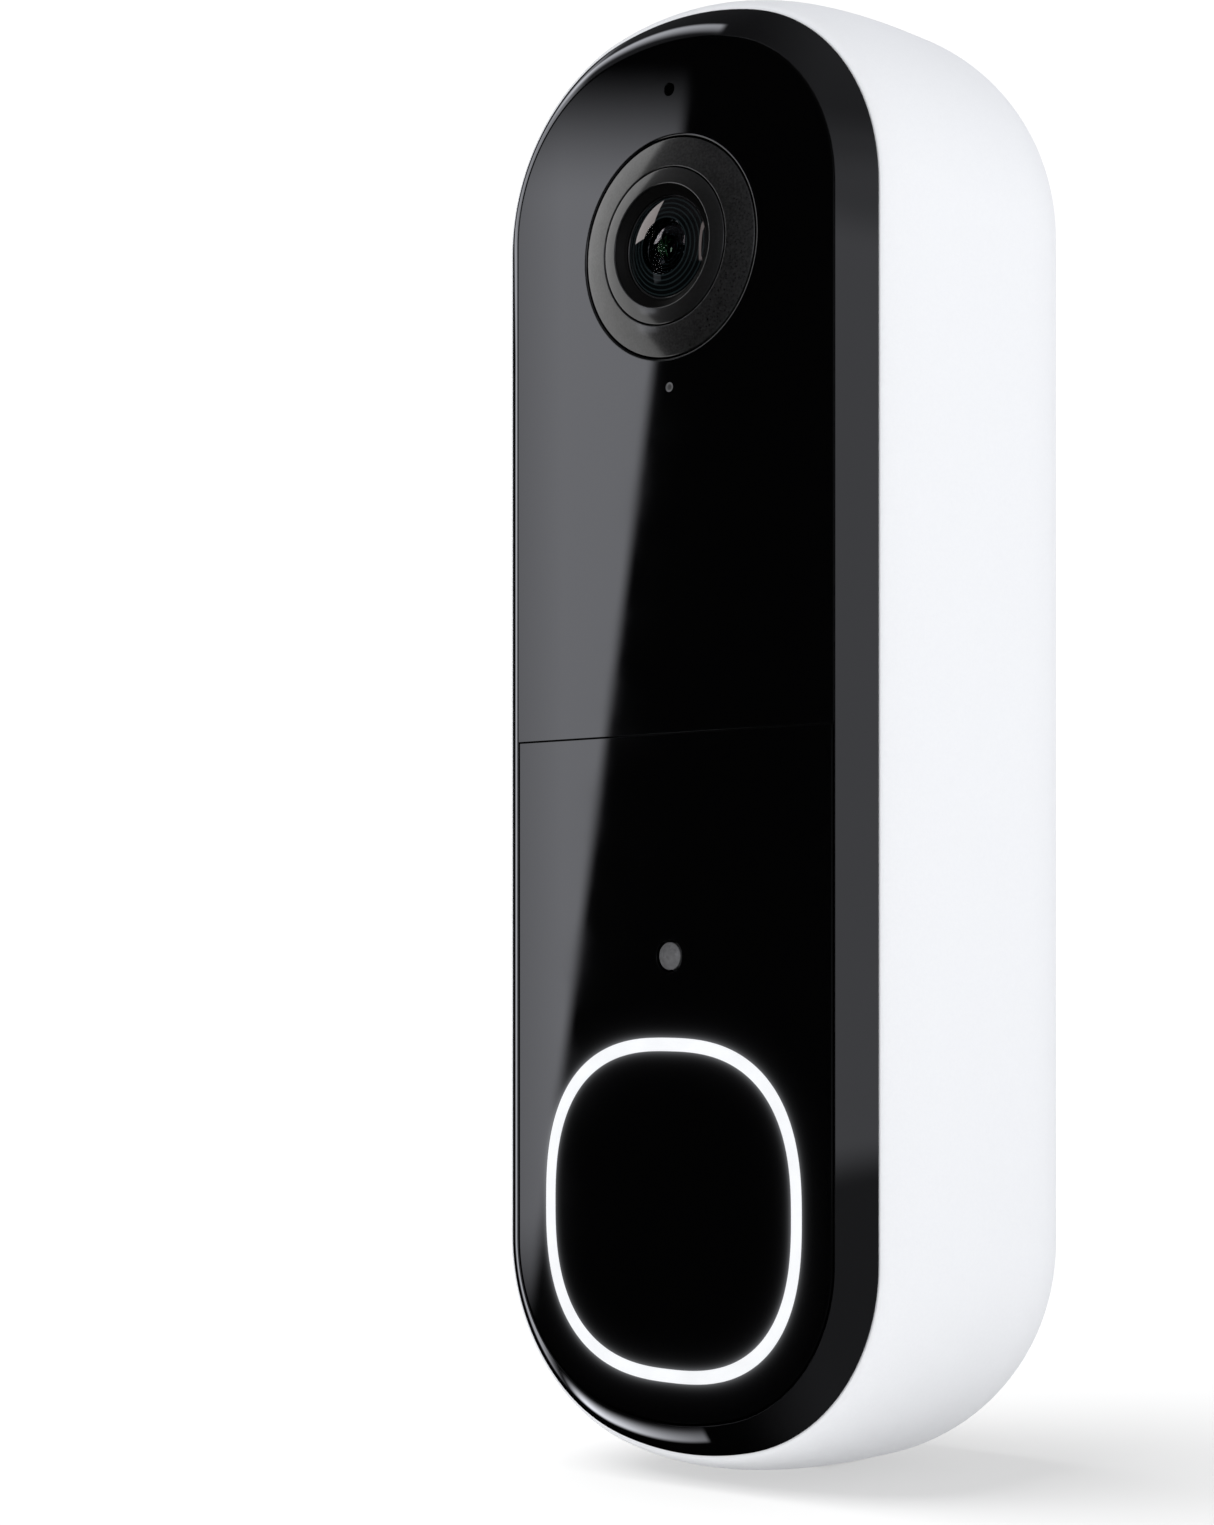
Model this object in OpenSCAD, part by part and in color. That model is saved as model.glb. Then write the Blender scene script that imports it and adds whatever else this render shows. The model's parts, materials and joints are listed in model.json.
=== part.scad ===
// Slim battery video doorbell on its wall plate.
// Every sub-part is drawn lying on its back (x to the right, y up the wall, z out of the wall)
// and is then stood up by stand(), so that the wall is the plane y = 0 and the front faces -y.

/* [Body] */
// Overall width, at the widest line of the rear shell
body_w = 48.4; // [46:0.2:52]
// Overall height
body_h = 136; // [132:1:142]
// Depth from the wall to the flat front face
body_d = 35; // [35:0.1:36]
// Radius of the outline's corners, at the widest line
corner_r = 20.8; // [20:0.1:21.5]
// Radius of the outline's top and bottom arcs, at the widest line
end_r = 34.8; // [33:0.1:38]
// Air between the rear shell and the wall
wall_gap = 1; // [0.8:0.1:1.2]
// How far the shell swells out behind the front frame
swell_w = 2.6; // [2:0.1:3]
// Depth over which the shell swells
swell_d = 16; // [14:0.5:17]
// Sideways size of the rounded back edge
back_round_w = 8.35; // [7:0.05:8.6]
// Depth of the rounded back edge
back_round_d = 12.6; // [11:0.1:13]

/* [Front] */
// Width of the flat chamfer round the front, seen from the front
chamfer_w = 3; // [2:0.1:3.2]
// Depth of that chamfer
chamfer_d = 2.55; // [2:0.05:2.6]
// Thickness of the pressed lower panel
panel_t = 1.6; // [1.4:0.1:1.6]
// Gap round the pressed lower panel
panel_gap = 0.15; // [0.1:0.01:0.2]
// Gap between the upper and the lower panel
seam_gap = 0.2; // [0.16:0.02:0.3]

/* [Light ring] */
// Half width of the ring's middle line
ring_half_w = 14.47; // [13.5:0.05:14.6]
// Half height of the ring's middle line
ring_half_h = 14.97; // [14:0.05:15.1]
// Width of the lit line
ring_stroke = 1.2; // [1:0.05:1.4]
// Height of the ring's centre, from the seam
ring_y = -43.05; // [-43.4:0.05:-42.8]
// Squareness of the ring: 2 is an ellipse
ring_power = 2.57; // [2.2:0.01:3]

/* [Camera] */
// Height of the camera's axis, from the seam
lens_y = 43.9; // [43.5:0.1:44.2]
// Outer radius of the trim cone
trim_r = 9.85; // [9.5:0.05:9.9]
// Radius of the joint between the trim cone and the hood
hood_r = 7.1; // [6.9:0.05:7.3]
// Radius of the hood's mouth
mouth_r = 5.55; // [5.4:0.05:5.7]
// Radius of the front glass
dome_r = 4.5; // [4.3:0.05:4.5]
// How far the hood stands out of the face
hood_rise = 1.15; // [0.8:0.05:1.2]

/* [Small openings] */
// Height of the microphone hole
mic_y = 58.2; // [57.8:0.1:58.3]
// Radius of the microphone hole
mic_r = 0.68; // [0.5:0.02:0.8]
// Height of the light sensor's dot
light_y = 31.3; // [30.5:0.1:31.6]
// Radius of the light sensor's dot
light_r = 0.48; // [0.4:0.02:0.6]
// Height of the motion sensor's window
motion_y = -20.1; // [-20.4:0.1:-19.8]
// Radius of the motion sensor's window
motion_r = 1.25; // [1.1:0.05:1.4]

/* [Wall plate] */
// Thickness of the wall plate
plate_t = 3; // [3:0.1:3.1]
// Width of the wall plate
plate_w = 30; // [29.4:0.2:30]
// Distance between the two wall screws
screw_spacing = 84; // [83:0.5:85]
// Radius of the wall screws' holes
screw_hole_r = 2.1; // [1.9:0.1:2.3]
// Radius of the recess for a wall screw's head
screw_head_r = 4.2; // [3.8:0.1:4.2]
// Radius of the bar that the doorbell hangs from
bar_r = 0.9; // [0.8:0.05:0.9]

/* [Hidden] */

$fn = 64;
eps = 0.01;

// Outline: every level of the body has the same corner and end centres, and its own radius.
side_x = body_w / 2 - corner_r;
end_y = body_h / 2 - end_r;
blend = end_r - corner_r;
lean = asin(side_x / blend);
corner_y = end_y + blend * cos(lean);
corner_steps = 10;
end_steps = 3;

// Levels, outwards from the wall
z_shell = wall_gap;
recess_z = plate_t + 0.5;
floor_z = recess_z + 2;
tray_z = 22;
tray_top = 23.6;
board_z = 24.6;
board_t = 1.2;
board_top = board_z + board_t;
rim_z = 29;
ring_board_z = 28;
tongue_z = 29.6;
ledge_z = 31.6;
edge_z = body_d - chamfer_d;

// Radii, measured from the corner centres
frame_r = corner_r - swell_w;
face_r = frame_r - chamfer_w;
rim_r = frame_r - 1.8;
cavity_r = corner_r - 2.2;
seal_in_r = 14.4;
ledge_r = face_r - 2;
plate_r = plate_w / 2 - side_x;
recess_r = plate_r + 0.3;
back_r = corner_r - back_round_w;
back_z = z_shell + back_round_d;
swell_z = edge_z - swell_d;
profile_steps = 8;
fit_gap = 0.05;
upper_t = 1.8;
mic_top = 32.2;

// Pivot of the pressed lower panel
pivot_y = -2;
pivot_z = 31.8;
pivot_r = 0.75;
lug_x = 14.9;
lug_w = 1.6;
ear_x = 12;
ear_w = 1.8;

// Switch under the light ring
switch_w = 6;
switch_z = rim_z;
switch_h = 2;
stem_r = 1.2;
stem_top = 32.35;
press_gap = 0.07;
ring_foot_z = 31;
bridge_w = 3;

// Hook and bar at the top of the wall plate
bar_y = 55;
bar_z = 2;
bar_half = 9;
hook_half = 5.2;
hook_low = 53.4;
hook_high = 57.6;
hook_back_z = 0.25;

// Catch and latch at the bottom of the wall plate
catch_y = -56.5;
catch_z = 2.3;
catch_slope = 0.583;
nose = 0.8;
nose_gap = 0.12;
tongue_half = 3;
tongue_back_y = -53.6;
slider_half = 4;
slider_low = -60.2;
slider_high = -50;
slider_z = 5.8;
slider_top = 7.8;
latch_axis_z = 6.9;
latch_travel = 2.2;
spring_stop_y = -43;
spring_r = 1.05;
spring_wire_r = 0.22;
spring_turns = 6;

// Openings in the wall plate
window_corner = 1;
wire_half = 9;
wire_low = -31;
wire_high = -4;
port_half = 6.5;
port_low = 4;
port_high = 36.8;
catch_window_half = 5;
catch_window_high = -50;
hook_window_half = 6;
hook_window_low = 51.5;
hook_window_high = 57.9;

// Things on the back
charge_y = 29;
charge_board_z = 10.5;
charge_board_t = 1;
pin_ear_gap = 0.15;
cover_hinge_y = 34.6;
cover_low = 24.4;
cover_half = 5.6;
cover_z = 1.6;
cover_pin_r = 0.5;
setup_y = 10;
setup_r = 2;
terminal_x = 5;
terminal_y = -8;
terminal_r = 1.15;
terminal_z = 2.6;

// Fasteners and battery
housing_x = 14.8;
housing_y = 30;
battery_half = 12;
battery_low = -34;
battery_high = 24;
battery_z = 7.4;
battery_top = 21.6;
speaker_r = 6;
speaker_z = 15;
speaker_low = -60;
speaker_high = -54.5;

// ---- shared shapes ----

// Stands the lying model up against the wall.
module stand() {
    rotate([90, 0, 0]) children();
}

module block(x0, x1, y0, y1, z0, z1) {
    translate([x0, y0, z0]) cube([x1 - x0, y1 - y0, z1 - z0]);
}

module post(x, y, z0, z1, r) {
    translate([x, y, z0]) cylinder(h = z1 - z0, r = r);
}

// A round bar or hole along x, between two x positions.
module cross_bar(x0, x1, y, z, r) {
    translate([x0, y, z]) rotate([0, 90, 0]) cylinder(h = x1 - x0, r = r);
}

// A round bar or hole along y, between two y positions.
module up_bar(x, y0, y1, z, r) {
    translate([x, y0, z]) rotate([-90, 0, 0]) cylinder(h = y1 - y0, r = r);
}

module both_sides() {
    children();
    mirror([1, 0, 0]) children();
}

function quarter(r) = concat(
    [for (i = [0:corner_steps]) let (a = i * (90 - lean) / corner_steps)
        [side_x + r * cos(a), corner_y + r * sin(a)]],
    [for (i = [1:end_steps]) let (a = 90 - lean + i * lean / end_steps)
        [(r + blend) * cos(a), end_y + (r + blend) * sin(a)]]);

// The body's outline as points, for a corner radius r.
function outline(r) = let (q = quarter(r), last = len(q) - 1) concat(
    q,
    [for (i = [last - 1:-1:0]) [-q[i][0], q[i][1]]],
    [for (i = [0:last]) [-q[i][0], -q[i][1]]],
    [for (i = [last - 1:-1:0]) [q[i][0], -q[i][1]]]);

module slab(r, z0, z1) {
    translate([0, 0, z0]) linear_extrude(z1 - z0) polygon(outline(r));
}

module band(r_out, r_in, z0, z1) {
    difference() {
        slab(r_out, z0, z1);
        slab(r_in, z0 - 1, z1 + 1);
    }
}

// Keeps what lies above (or below) the seam.
module above_seam() {
    intersection() {
        children();
        block(-body_w, body_w, seam_gap / 2, body_h, 0, 2 * body_d);
    }
}

module below_seam() {
    intersection() {
        children();
        block(-body_w, body_w, -body_h, -seam_gap / 2, 0, 2 * body_d);
    }
}

// A solid whose outline's radius changes with height: levels is a list of [radius, z].
module loft(levels) {
    n = len(outline(1));
    last = len(levels) - 1;
    pts = [for (level = levels) for (p = outline(level[0])) [p[0], p[1], level[1]]];
    walls = [
        for (i = [0:last - 1]) for (j = [0:n - 1]) let (k = (j + 1) % n)
            [i * n + j, (i + 1) * n + j, (i + 1) * n + k, i * n + k]
    ];
    caps = [[for (j = [0:n - 1]) j], [for (j = [n - 1:-1:0]) last * n + j]];
    polyhedron(points = pts, faces = concat(walls, caps), convexity = 4);
}

// Points of a quarter of an ellipse, from angle a0 to a1.
function bend(cr, cz, wide, deep, a0, a1) = [
    for (i = [0:profile_steps]) let (a = a0 + (a1 - a0) * i / profile_steps)
        [cr + wide * cos(a), cz + deep * sin(a)]
];

// Points of a rounded square with its middle at the ring's centre.
ring_steps = 96;
function sgn_pow(v, p) = sign(v) * pow(abs(v), p);
function ring_points(grow) = [
    for (i = [0:ring_steps - 1]) let (a = 360 * i / ring_steps)
        [(ring_half_w + grow) * sgn_pow(cos(a), 2 / ring_power),
         ring_y + (ring_half_h + grow) * sgn_pow(sin(a), 2 / ring_power)]
];

module ring_band(half, z0, z1) {
    translate([0, 0, z0]) linear_extrude(z1 - z0) difference() {
        polygon(ring_points(half));
        polygon(ring_points(-half));
    }
}

// Four arms across the ring, where the panel's inside is joined to its outside.
module ring_bridges(width, z0, z1) {
    reach = 30;
    for (a = [45, 135]) translate([0, ring_y, z0]) rotate([0, 0, a])
        translate([-reach, -width / 2, 0]) cube([2 * reach, width, z1 - z0]);
}

// A spring's coil along y, as a tube swept round a helix.
module coil(x, y0, y1, z, r, wire_r, turns) {
    sides = 6;
    per_turn = 14;
    steps = turns * per_turn;
    rise = y1 - y0 - 2 * wire_r;
    pts = [
        for (i = [0:steps]) let (a = 360 * i / per_turn) for (j = [0:sides - 1])
            let (b = 360 * j / sides, rr = r + wire_r * cos(b))
            [x + rr * cos(a), y0 + wire_r + rise * i / steps + wire_r * sin(b), z + rr * sin(a)]
    ];
    walls = [
        for (i = [0:steps - 1]) for (j = [0:sides - 1]) let (k = (j + 1) % sides)
            [i * sides + j, (i + 1) * sides + j, (i + 1) * sides + k, i * sides + k]
    ];
    ends = [[for (j = [0:sides - 1]) j], [for (j = [sides - 1:-1:0]) steps * sides + j]];
    polyhedron(points = pts, faces = concat(walls, ends), convexity = 10);
}

// ---- wall plate ----

module corner_cut_window(half, low, high, cut) {
    translate([0, 0, -1]) linear_extrude(plate_t + 2) polygon([
        [-half, low + cut], [-half + cut, low], [half - cut, low], [half, low + cut],
        [half, high - cut], [half - cut, high], [-half + cut, high], [-half, high - cut]
    ]);
}

module wall_plate() color("gainsboro") stand() {
    head_depth = 1.6;
    undercut = 1.1;
    difference() {
        slab(plate_r, 0, plate_t);
        corner_cut_window(wire_half, wire_low, wire_high, window_corner);
        corner_cut_window(port_half, port_low, port_high, window_corner);
        block(-hook_window_half, hook_window_half, hook_window_low, hook_window_high, -1, plate_t + 1);
        // the catch window's lower edge slopes away towards the wall, to hold the latch's nose
        translate([-catch_window_half, 0, 0]) rotate([90, 0, 90])
            linear_extrude(2 * catch_window_half) polygon([
                [catch_window_high, -1], [catch_window_high, plate_t + 1], [catch_y, plate_t + 1],
                [catch_y, catch_z], [catch_y - undercut, catch_z - undercut / catch_slope],
                [catch_y - undercut, -1]
            ]);
        for (y = [-1, 1] * screw_spacing / 2) {
            post(0, y, -1, plate_t + 1, screw_hole_r);
            post(0, y, plate_t - head_depth, plate_t + 1, screw_head_r);
        }
        cross_bar(-bar_half, bar_half, bar_y, bar_z, bar_r);
    }
}

module hook_bar() color("silver") stand() {
    cross_bar(-bar_half, bar_half, bar_y, bar_z, bar_r);
}

// ---- rear shell ----

module shell_outer() {
    loft(concat(
        bend(back_r, back_z, back_round_w, back_round_d, -90, 0),
        bend(frame_r, swell_z, swell_w, swell_d, 0, 90)));
}

module shell_cavity() {
    cavity_bend_w = 6.4;
    step_z = 27;
    loft(concat(
        bend(cavity_r - cavity_bend_w, back_z, cavity_bend_w, back_z - floor_z, -90, 0),
        [[cavity_r, step_z], [rim_r, step_z + 2], [rim_r, edge_z + 1]]));
}

module hook() {
    groove_r = bar_r + fit_gap;
    difference() {
        block(-hook_half, hook_half, hook_low, hook_high, hook_back_z, recess_z + eps);
        cross_bar(-hook_half - 1, hook_half + 1, bar_y, bar_z, groove_r);
        block(-hook_half - 1, hook_half + 1, hook_low - 1, bar_y, bar_z - groove_r, bar_z + groove_r);
    }
}

module latch_rails() {
    rail_gap = 0.3;
    rail_w = 1.2;
    rail_low = -58.5;
    rail_high = -49;
    lip_reach = 1;
    lip_z = slider_top + rail_gap;
    lip_top = lip_z + 0.7;
    stop_half = 3;
    stop_t = 1.4;
    both_sides() {
        block(slider_half + rail_gap, slider_half + rail_gap + rail_w, rail_low, rail_high,
            floor_z - eps, lip_top);
        block(slider_half - lip_reach, slider_half + rail_gap + eps, rail_low, rail_high, lip_z, lip_top);
    }
    block(-stop_half, stop_half, spring_stop_y, spring_stop_y + stop_t, floor_z - eps, lip_top);
}

module sound_slots() {
    slot_w = 1.2;
    slot_half_len = 3.5;
    pitch = 2.2;
    inner_y = speaker_low - 1.5;
    for (i = [-2:2]) translate([i * pitch, 0, speaker_z])
        block(-slot_w / 2, slot_w / 2, -body_h / 2 - 1, inner_y, -slot_half_len, slot_half_len);
}

module rear_shell() color("white") stand() {
    boss_r = 2.4;
    pilot_r = 0.85;
    pilot_z = floor_z + 4;
    pin_hole_r = 0.9;
    board_post_x = 6;
    board_post_r = 0.9;
    pin_ear_half = 1;
    pin_ear_z = 1.5;
    tongue_gap = 0.3;
    mouth_half_w = 4.6;
    mouth_half_h = 1.75;
    difference() {
        union() {
            difference() {
                shell_outer();
                shell_cavity();
                slab(recess_r, -1, recess_z);
            }
            hook();
            latch_rails();
            for (y = [-1, 1] * housing_y) both_sides() post(housing_x, y, floor_z - eps, tray_z, boss_r);
            both_sides() post(board_post_x, charge_y, floor_z - eps, charge_board_z, board_post_r);
            // ears of the port cover's pin
            both_sides() block(cover_half + pin_ear_gap, port_half - pin_ear_gap,
                cover_hinge_y - pin_ear_half, cover_hinge_y + pin_ear_half, pin_ear_z, recess_z + eps);
        }
        for (y = [-1, 1] * housing_y) both_sides() post(housing_x, y, pilot_z, tray_z + 1, pilot_r);
        sound_slots();
        up_bar(0, -body_h / 2 - 1, slider_low - 0.5, latch_axis_z, pin_hole_r);
        // slot for the latch's tongue
        block(-tongue_half - tongue_gap, tongue_half + tongue_gap, catch_y - nose - tongue_gap,
            tongue_back_y + latch_travel + tongue_gap, recess_z - 1, floor_z + 1);
        // mouth of the charging port
        block(-mouth_half_w, mouth_half_w, charge_y - mouth_half_h, charge_y + mouth_half_h,
            recess_z - 1, floor_z + 1);
        post(0, setup_y, recess_z - 1, floor_z + 1, setup_r + fit_gap);
        both_sides() post(terminal_x, terminal_y, recess_z - 1, floor_z + 1, terminal_r);
        cross_bar(-port_half, port_half, cover_hinge_y, cover_z + 0.9, cover_pin_r + fit_gap);
    }
}

// ---- front frame and panels ----

module front_bezel() color("black") stand() {
    tongue_r = rim_r - 0.1;
    difference() {
        loft([[tongue_r, tongue_z], [tongue_r, edge_z], [frame_r, edge_z], [face_r, body_d]]);
        slab(face_r, ledge_z, body_d + 1);
        slab(ledge_r, tongue_z - 1, body_d + 1);
    }
}

module upper_panel() color("black") stand() {
    rim_w = 1;
    well_r = trim_r + 0.15;
    r = face_r - fit_gap;
    difference() {
        above_seam() union() {
            slab(r, body_d - upper_t, body_d);
            band(r, r - rim_w, ledge_z, body_d - upper_t + eps);
        }
        post(0, lens_y, body_d - upper_t - 1, body_d + 1, well_r);
        post(0, mic_y, body_d - upper_t - 1, body_d + 1, mic_r);
        post(0, light_y, body_d - upper_t - 1, body_d + 1, light_r + 0.02);
    }
}

module button_panel() color("black") stand() {
    back = body_d - panel_t;
    shelf = body_d - 1;
    half = ring_stroke / 2;
    boss_r = 2.5;
    lug_half = 1.2;
    lug_low = pivot_z - 1.1;
    dish_depth = 0.25;
    dish_r = motion_r + 0.3;
    difference() {
        union() {
            below_seam() slab(face_r - panel_gap, back, body_d);
            post(0, ring_y, stem_top + press_gap, back + eps, boss_r);
            both_sides() block(lug_x - lug_w / 2, lug_x + lug_w / 2, pivot_y - lug_half,
                pivot_y + lug_half, lug_low, back + eps);
        }
        ring_band(half, shelf, body_d + 1);
        difference() {
            ring_band(half, back - 1, shelf + eps);
            ring_bridges(bridge_w, back - 2, shelf + 1);
        }
        post(0, motion_y, back - 1, body_d + 1, motion_r + 0.02);
        post(0, motion_y, body_d - dish_depth, body_d + 1, dish_r);
        both_sides() cross_bar(lug_x - lug_w, lug_x + lug_w, pivot_y, pivot_z, pivot_r + fit_gap);
    }
}

module light_ring() color("white") stand() {
    back = body_d - panel_t;
    shelf = body_d - 1;
    half = ring_stroke / 2;
    ring_band(half, shelf, body_d);
    difference() {
        ring_band(half, ring_foot_z, shelf + eps);
        ring_bridges(bridge_w, ring_foot_z - 1, shelf);
    }
}

module motion_window() color("dimgray") stand() {
    base_z = body_d - panel_t;
    dome_rise = 0.5;
    sphere_r = (motion_r * motion_r + dome_rise * dome_rise) / (2 * dome_rise);
    crown_z = body_d - 0.1 + dome_rise;
    intersection() {
        post(0, motion_y, base_z, body_d + 2, motion_r);
        translate([0, motion_y, crown_z - sphere_r]) sphere(sphere_r);
    }
}

module pivot_rods() color("silver") stand() {
    rod_end_x = lug_x + lug_w / 2 + 0.2;
    both_sides() cross_bar(ear_x, rod_end_x, pivot_y, pivot_z, pivot_r);
}

// ---- camera ----

module turned(y) {
    translate([0, y, 0]) rotate_extrude() children();
}

hood_seam_z = body_d + hood_rise * 0.68;

module lens_trim() color("dimgray") stand() {
    bore_r = hood_r + 0.08;
    rim_z = body_d - 0.1;
    back = body_d - 1.7;
    turned(lens_y) polygon([[bore_r, hood_seam_z], [trim_r, rim_z], [trim_r, back], [bore_r, back]]);
}

module lens_hood() color("black") stand() {
    outer_r = hood_r - 0.05;
    bore_r = dome_r + 0.15;
    back = body_d - 1.8;
    lip = 0.3;
    step_r = mouth_r - 0.45;
    step_z = body_d + 0.2;
    bore_z = body_d + 0.1;
    turned(lens_y) polygon([
        [outer_r, hood_seam_z], [mouth_r, body_d + hood_rise], [mouth_r - 0.25, body_d + hood_rise - lip],
        [step_r, step_z], [bore_r, bore_z], [bore_r, back], [outer_r, back]
    ]);
}

module lens_dome() color("slategray") stand() {
    rise = 1.3;
    base_z = body_d - 1.3;
    seat_z = body_d - 0.3;
    sphere_r = (dome_r * dome_r + rise * rise) / (2 * rise);
    intersection() {
        post(0, lens_y, base_z, body_d + 2, dome_r);
        translate([0, lens_y, seat_z + rise - sphere_r]) sphere(sphere_r);
    }
}

module lens_barrel() color("black") stand() {
    bore_r = 4.2;
    thread_r = 5.2;
    flange_r = 6.9;
    flange_z = 31.2;
    flange_top = 33.1;
    lip_r = dome_r + 0.1;
    low = 27.6;
    high = 33.6;
    turned(lens_y) polygon([
        [bore_r, low], [thread_r, low], [thread_r, flange_z], [flange_r, flange_z],
        [flange_r, flange_top], [lip_r, flange_top], [lip_r, high], [bore_r, high]
    ]);
}

module lens_elements() color("lightsteelblue") stand() {
    element_r = 4.15;
    element_spans = [[28, 28.8], [29.6, 30.8], [32, 33.4]];
    for (span = element_spans) post(0, lens_y, span[0], span[1], element_r);
}

module lens_holder() color("black") stand() {
    half = 7;
    foot_top = 28.4;
    neck_r = 6.5;
    neck_top = 31;
    bore_r = 5.22;
    difference() {
        union() {
            block(-half, half, lens_y - half, lens_y + half, board_top, foot_top);
            post(0, lens_y, foot_top - eps, neck_top, neck_r);
        }
        post(0, lens_y, board_top - 1, neck_top + 1, bore_r);
    }
}

module image_sensor() color("midnightblue") stand() {
    half_w = 3.6;
    half_h = 2.6;
    block(-half_w, half_w, lens_y - half_h, lens_y + half_h, board_top, board_top + 1);
}

module camera_board() color("darkgreen") stand() {
    half = 8.5;
    block(-half, half, lens_y - half, lens_y + half, board_z, board_top);
}

module infrared_lamps() color("darkred") stand() {
    lamp_r = 1.6;
    lamp_x = 7.5;
    lamp_y = 27;
    lamp_z = 29.6;
    both_sides() {
        post(lamp_x, lamp_y, board_top, lamp_z, lamp_r);
        translate([lamp_x, lamp_y, lamp_z]) sphere(lamp_r);
    }
}

module light_pipe() color("gray") stand() {
    foot_z = 26.6;
    foot_top = 27.6;
    foot_r = 1;
    post(0, light_y, foot_top, body_d - 0.05, light_r);
    post(0, light_y, foot_z, foot_top + eps, foot_r);
}

module microphone() color("silver") stand() {
    board_half = 3;
    board_low_z = 30.6;
    can_half_w = 1.8;
    can_half_h = 1.4;
    can_z = 31.2;
    block(-can_half_w, can_half_w, mic_y - can_half_h, mic_y + can_half_h, can_z, mic_top);
    block(-board_half, board_half, mic_y - 2.2, mic_y + 1.6, board_low_z, can_z + eps);
}

module microphone_gasket() color("dimgray") stand() {
    gasket_r = 1.9;
    difference() {
        post(0, mic_y, mic_top, body_d - upper_t, gasket_r);
        post(0, mic_y, mic_top - 1, body_d, mic_r);
    }
}

// ---- boards ----

module main_board() color("darkgreen") stand() {
    half = 11.5;
    low = -26;
    high = 33;
    chip_half_w = 1.2;
    chip_half_h = 1;
    chip_top = board_top + 0.8;
    block(-half, half, low, high, board_z, board_top);
    // light sensor chip
    block(-chip_half_w, chip_half_w, light_y - chip_half_h, light_y + chip_half_h, board_top - eps, chip_top);
}

module shield_can() color("silver") stand() {
    wall = 0.3;
    half = 9;
    low = -2;
    high = 20;
    top = 28.2;
    difference() {
        block(-half, half, low, high, board_top, top);
        block(-half + wall, half - wall, low + wall, high - wall, board_top - 1, top - wall);
    }
}

module motion_sensor() color("silver") stand() {
    can_r = 4.1;
    can_top = 30.6;
    brim_r = 4.6;
    brim_t = 0.6;
    post(0, motion_y, board_top, can_top, can_r);
    post(0, motion_y, board_top, board_top + brim_t, brim_r);
}

module antenna() color("gold") stand() {
    half = 9;
    low = 54.5;
    high = 57;
    strip_t = 0.6;
    block(-half, half, low, high, board_z, board_z + strip_t);
}

module ring_board() color("darkgreen") stand() {
    past_ring = 1.5;
    translate([0, 0, ring_board_z]) linear_extrude(rim_z - ring_board_z) polygon(ring_points(past_ring));
}

module ring_lamps() color("lightyellow") stand() {
    lamp_half = 1;
    lamp_t = 0.7;
    for (a = [0:45:315]) let (
        x = ring_half_w * sgn_pow(cos(a), 2 / ring_power),
        y = ring_y + ring_half_h * sgn_pow(sin(a), 2 / ring_power)
    ) block(x - lamp_half, x + lamp_half, y - lamp_half, y + lamp_half, rim_z, rim_z + lamp_t);
}

module switch_body() color("black") stand() {
    half = switch_w / 2;
    base_t = 0.1;
    difference() {
        block(-half, half, ring_y - half, ring_y + half, switch_z, switch_z + switch_h);
        post(0, ring_y, switch_z + base_t, switch_z + switch_h + 1, stem_r + fit_gap);
    }
}

module switch_stem() color("ivory") stand() {
    post(0, ring_y, switch_z + 0.8, stem_top, stem_r);
}

module ribbon_cable() color("orange") stand() {
    tape_t = 0.3;
    tape_w = 4;
    tape_x = 6;
    low = board_top;
    high = rim_z;
    start_y = -23;
    turn_y = -25.6;
    end_y = -29;
    translate([tape_x, 0, 0]) rotate([90, 0, 90]) linear_extrude(tape_w) polygon([
        [start_y, low], [turn_y, low], [turn_y, high], [end_y, high], [end_y, high + tape_t],
        [turn_y + tape_t, high + tape_t], [turn_y + tape_t, low + tape_t], [start_y, low + tape_t]
    ]);
}

module chassis() color("dimgray") stand() {
    rim_out = 16.2;
    wire_slot_half = 4;
    wire_slot_h = 3;
    ear_top = 32.7;
    screw_clear = 1.1;
    ear_half = 1.3;
    post_r = 1.2;
    // places [x, y] of the posts under the main board, the camera's board and the antenna
    board_posts = [[9.5, -22], [9.5, 27], [6.5, 38], [6.5, 50], [7, 55.7]];
    ring_posts = [[11, -54], [11, -34]];
    difference() {
        union() {
            slab(rim_out, tray_z, tray_top);
            band(rim_out, seal_in_r, tray_top - eps, rim_z);
            both_sides() {
                for (p = board_posts) post(p[0], p[1], tray_top - eps, board_z, post_r);
                for (p = ring_posts) post(p[0], p[1], tray_top - eps, ring_board_z, post_r);
                block(ear_x, ear_x + ear_w, pivot_y - ear_half, pivot_y + ear_half, tray_top - eps, ear_top);
            }
        }
        for (y = [-1, 1] * housing_y) both_sides() post(housing_x, y, tray_z - 1, tray_top + 1, screw_clear);
        both_sides() cross_bar(ear_x - 1, ear_x + ear_w + 1, pivot_y, pivot_z, pivot_r);
        // openings for the boards' wires
        for (y = [-31, 32])
            block(-wire_slot_half, wire_slot_half, y, y + wire_slot_h, tray_z - 1, tray_top + 1);
    }
}

module perimeter_seal() color("darkslategray") stand() {
    band(rim_r - 0.3, seal_in_r, rim_z, tongue_z);
}

// ---- power and sound ----

module battery() color("steelblue") stand() {
    edge = 2;
    translate([0, battery_low, 0]) rotate([-90, 0, 0]) mirror([0, 1, 0])
        linear_extrude(battery_high - battery_low) polygon([
            [-battery_half + edge, battery_z], [battery_half - edge, battery_z],
            [battery_half, battery_z + edge], [battery_half, battery_top - edge],
            [battery_half - edge, battery_top], [-battery_half + edge, battery_top],
            [-battery_half, battery_top - edge], [-battery_half, battery_z + edge]
        ]);
}

module battery_pad() color("gray") stand() {
    half = 9;
    inset = 5;
    block(-half, half, battery_low + inset, battery_high - inset, battery_top, tray_z);
}

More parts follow.
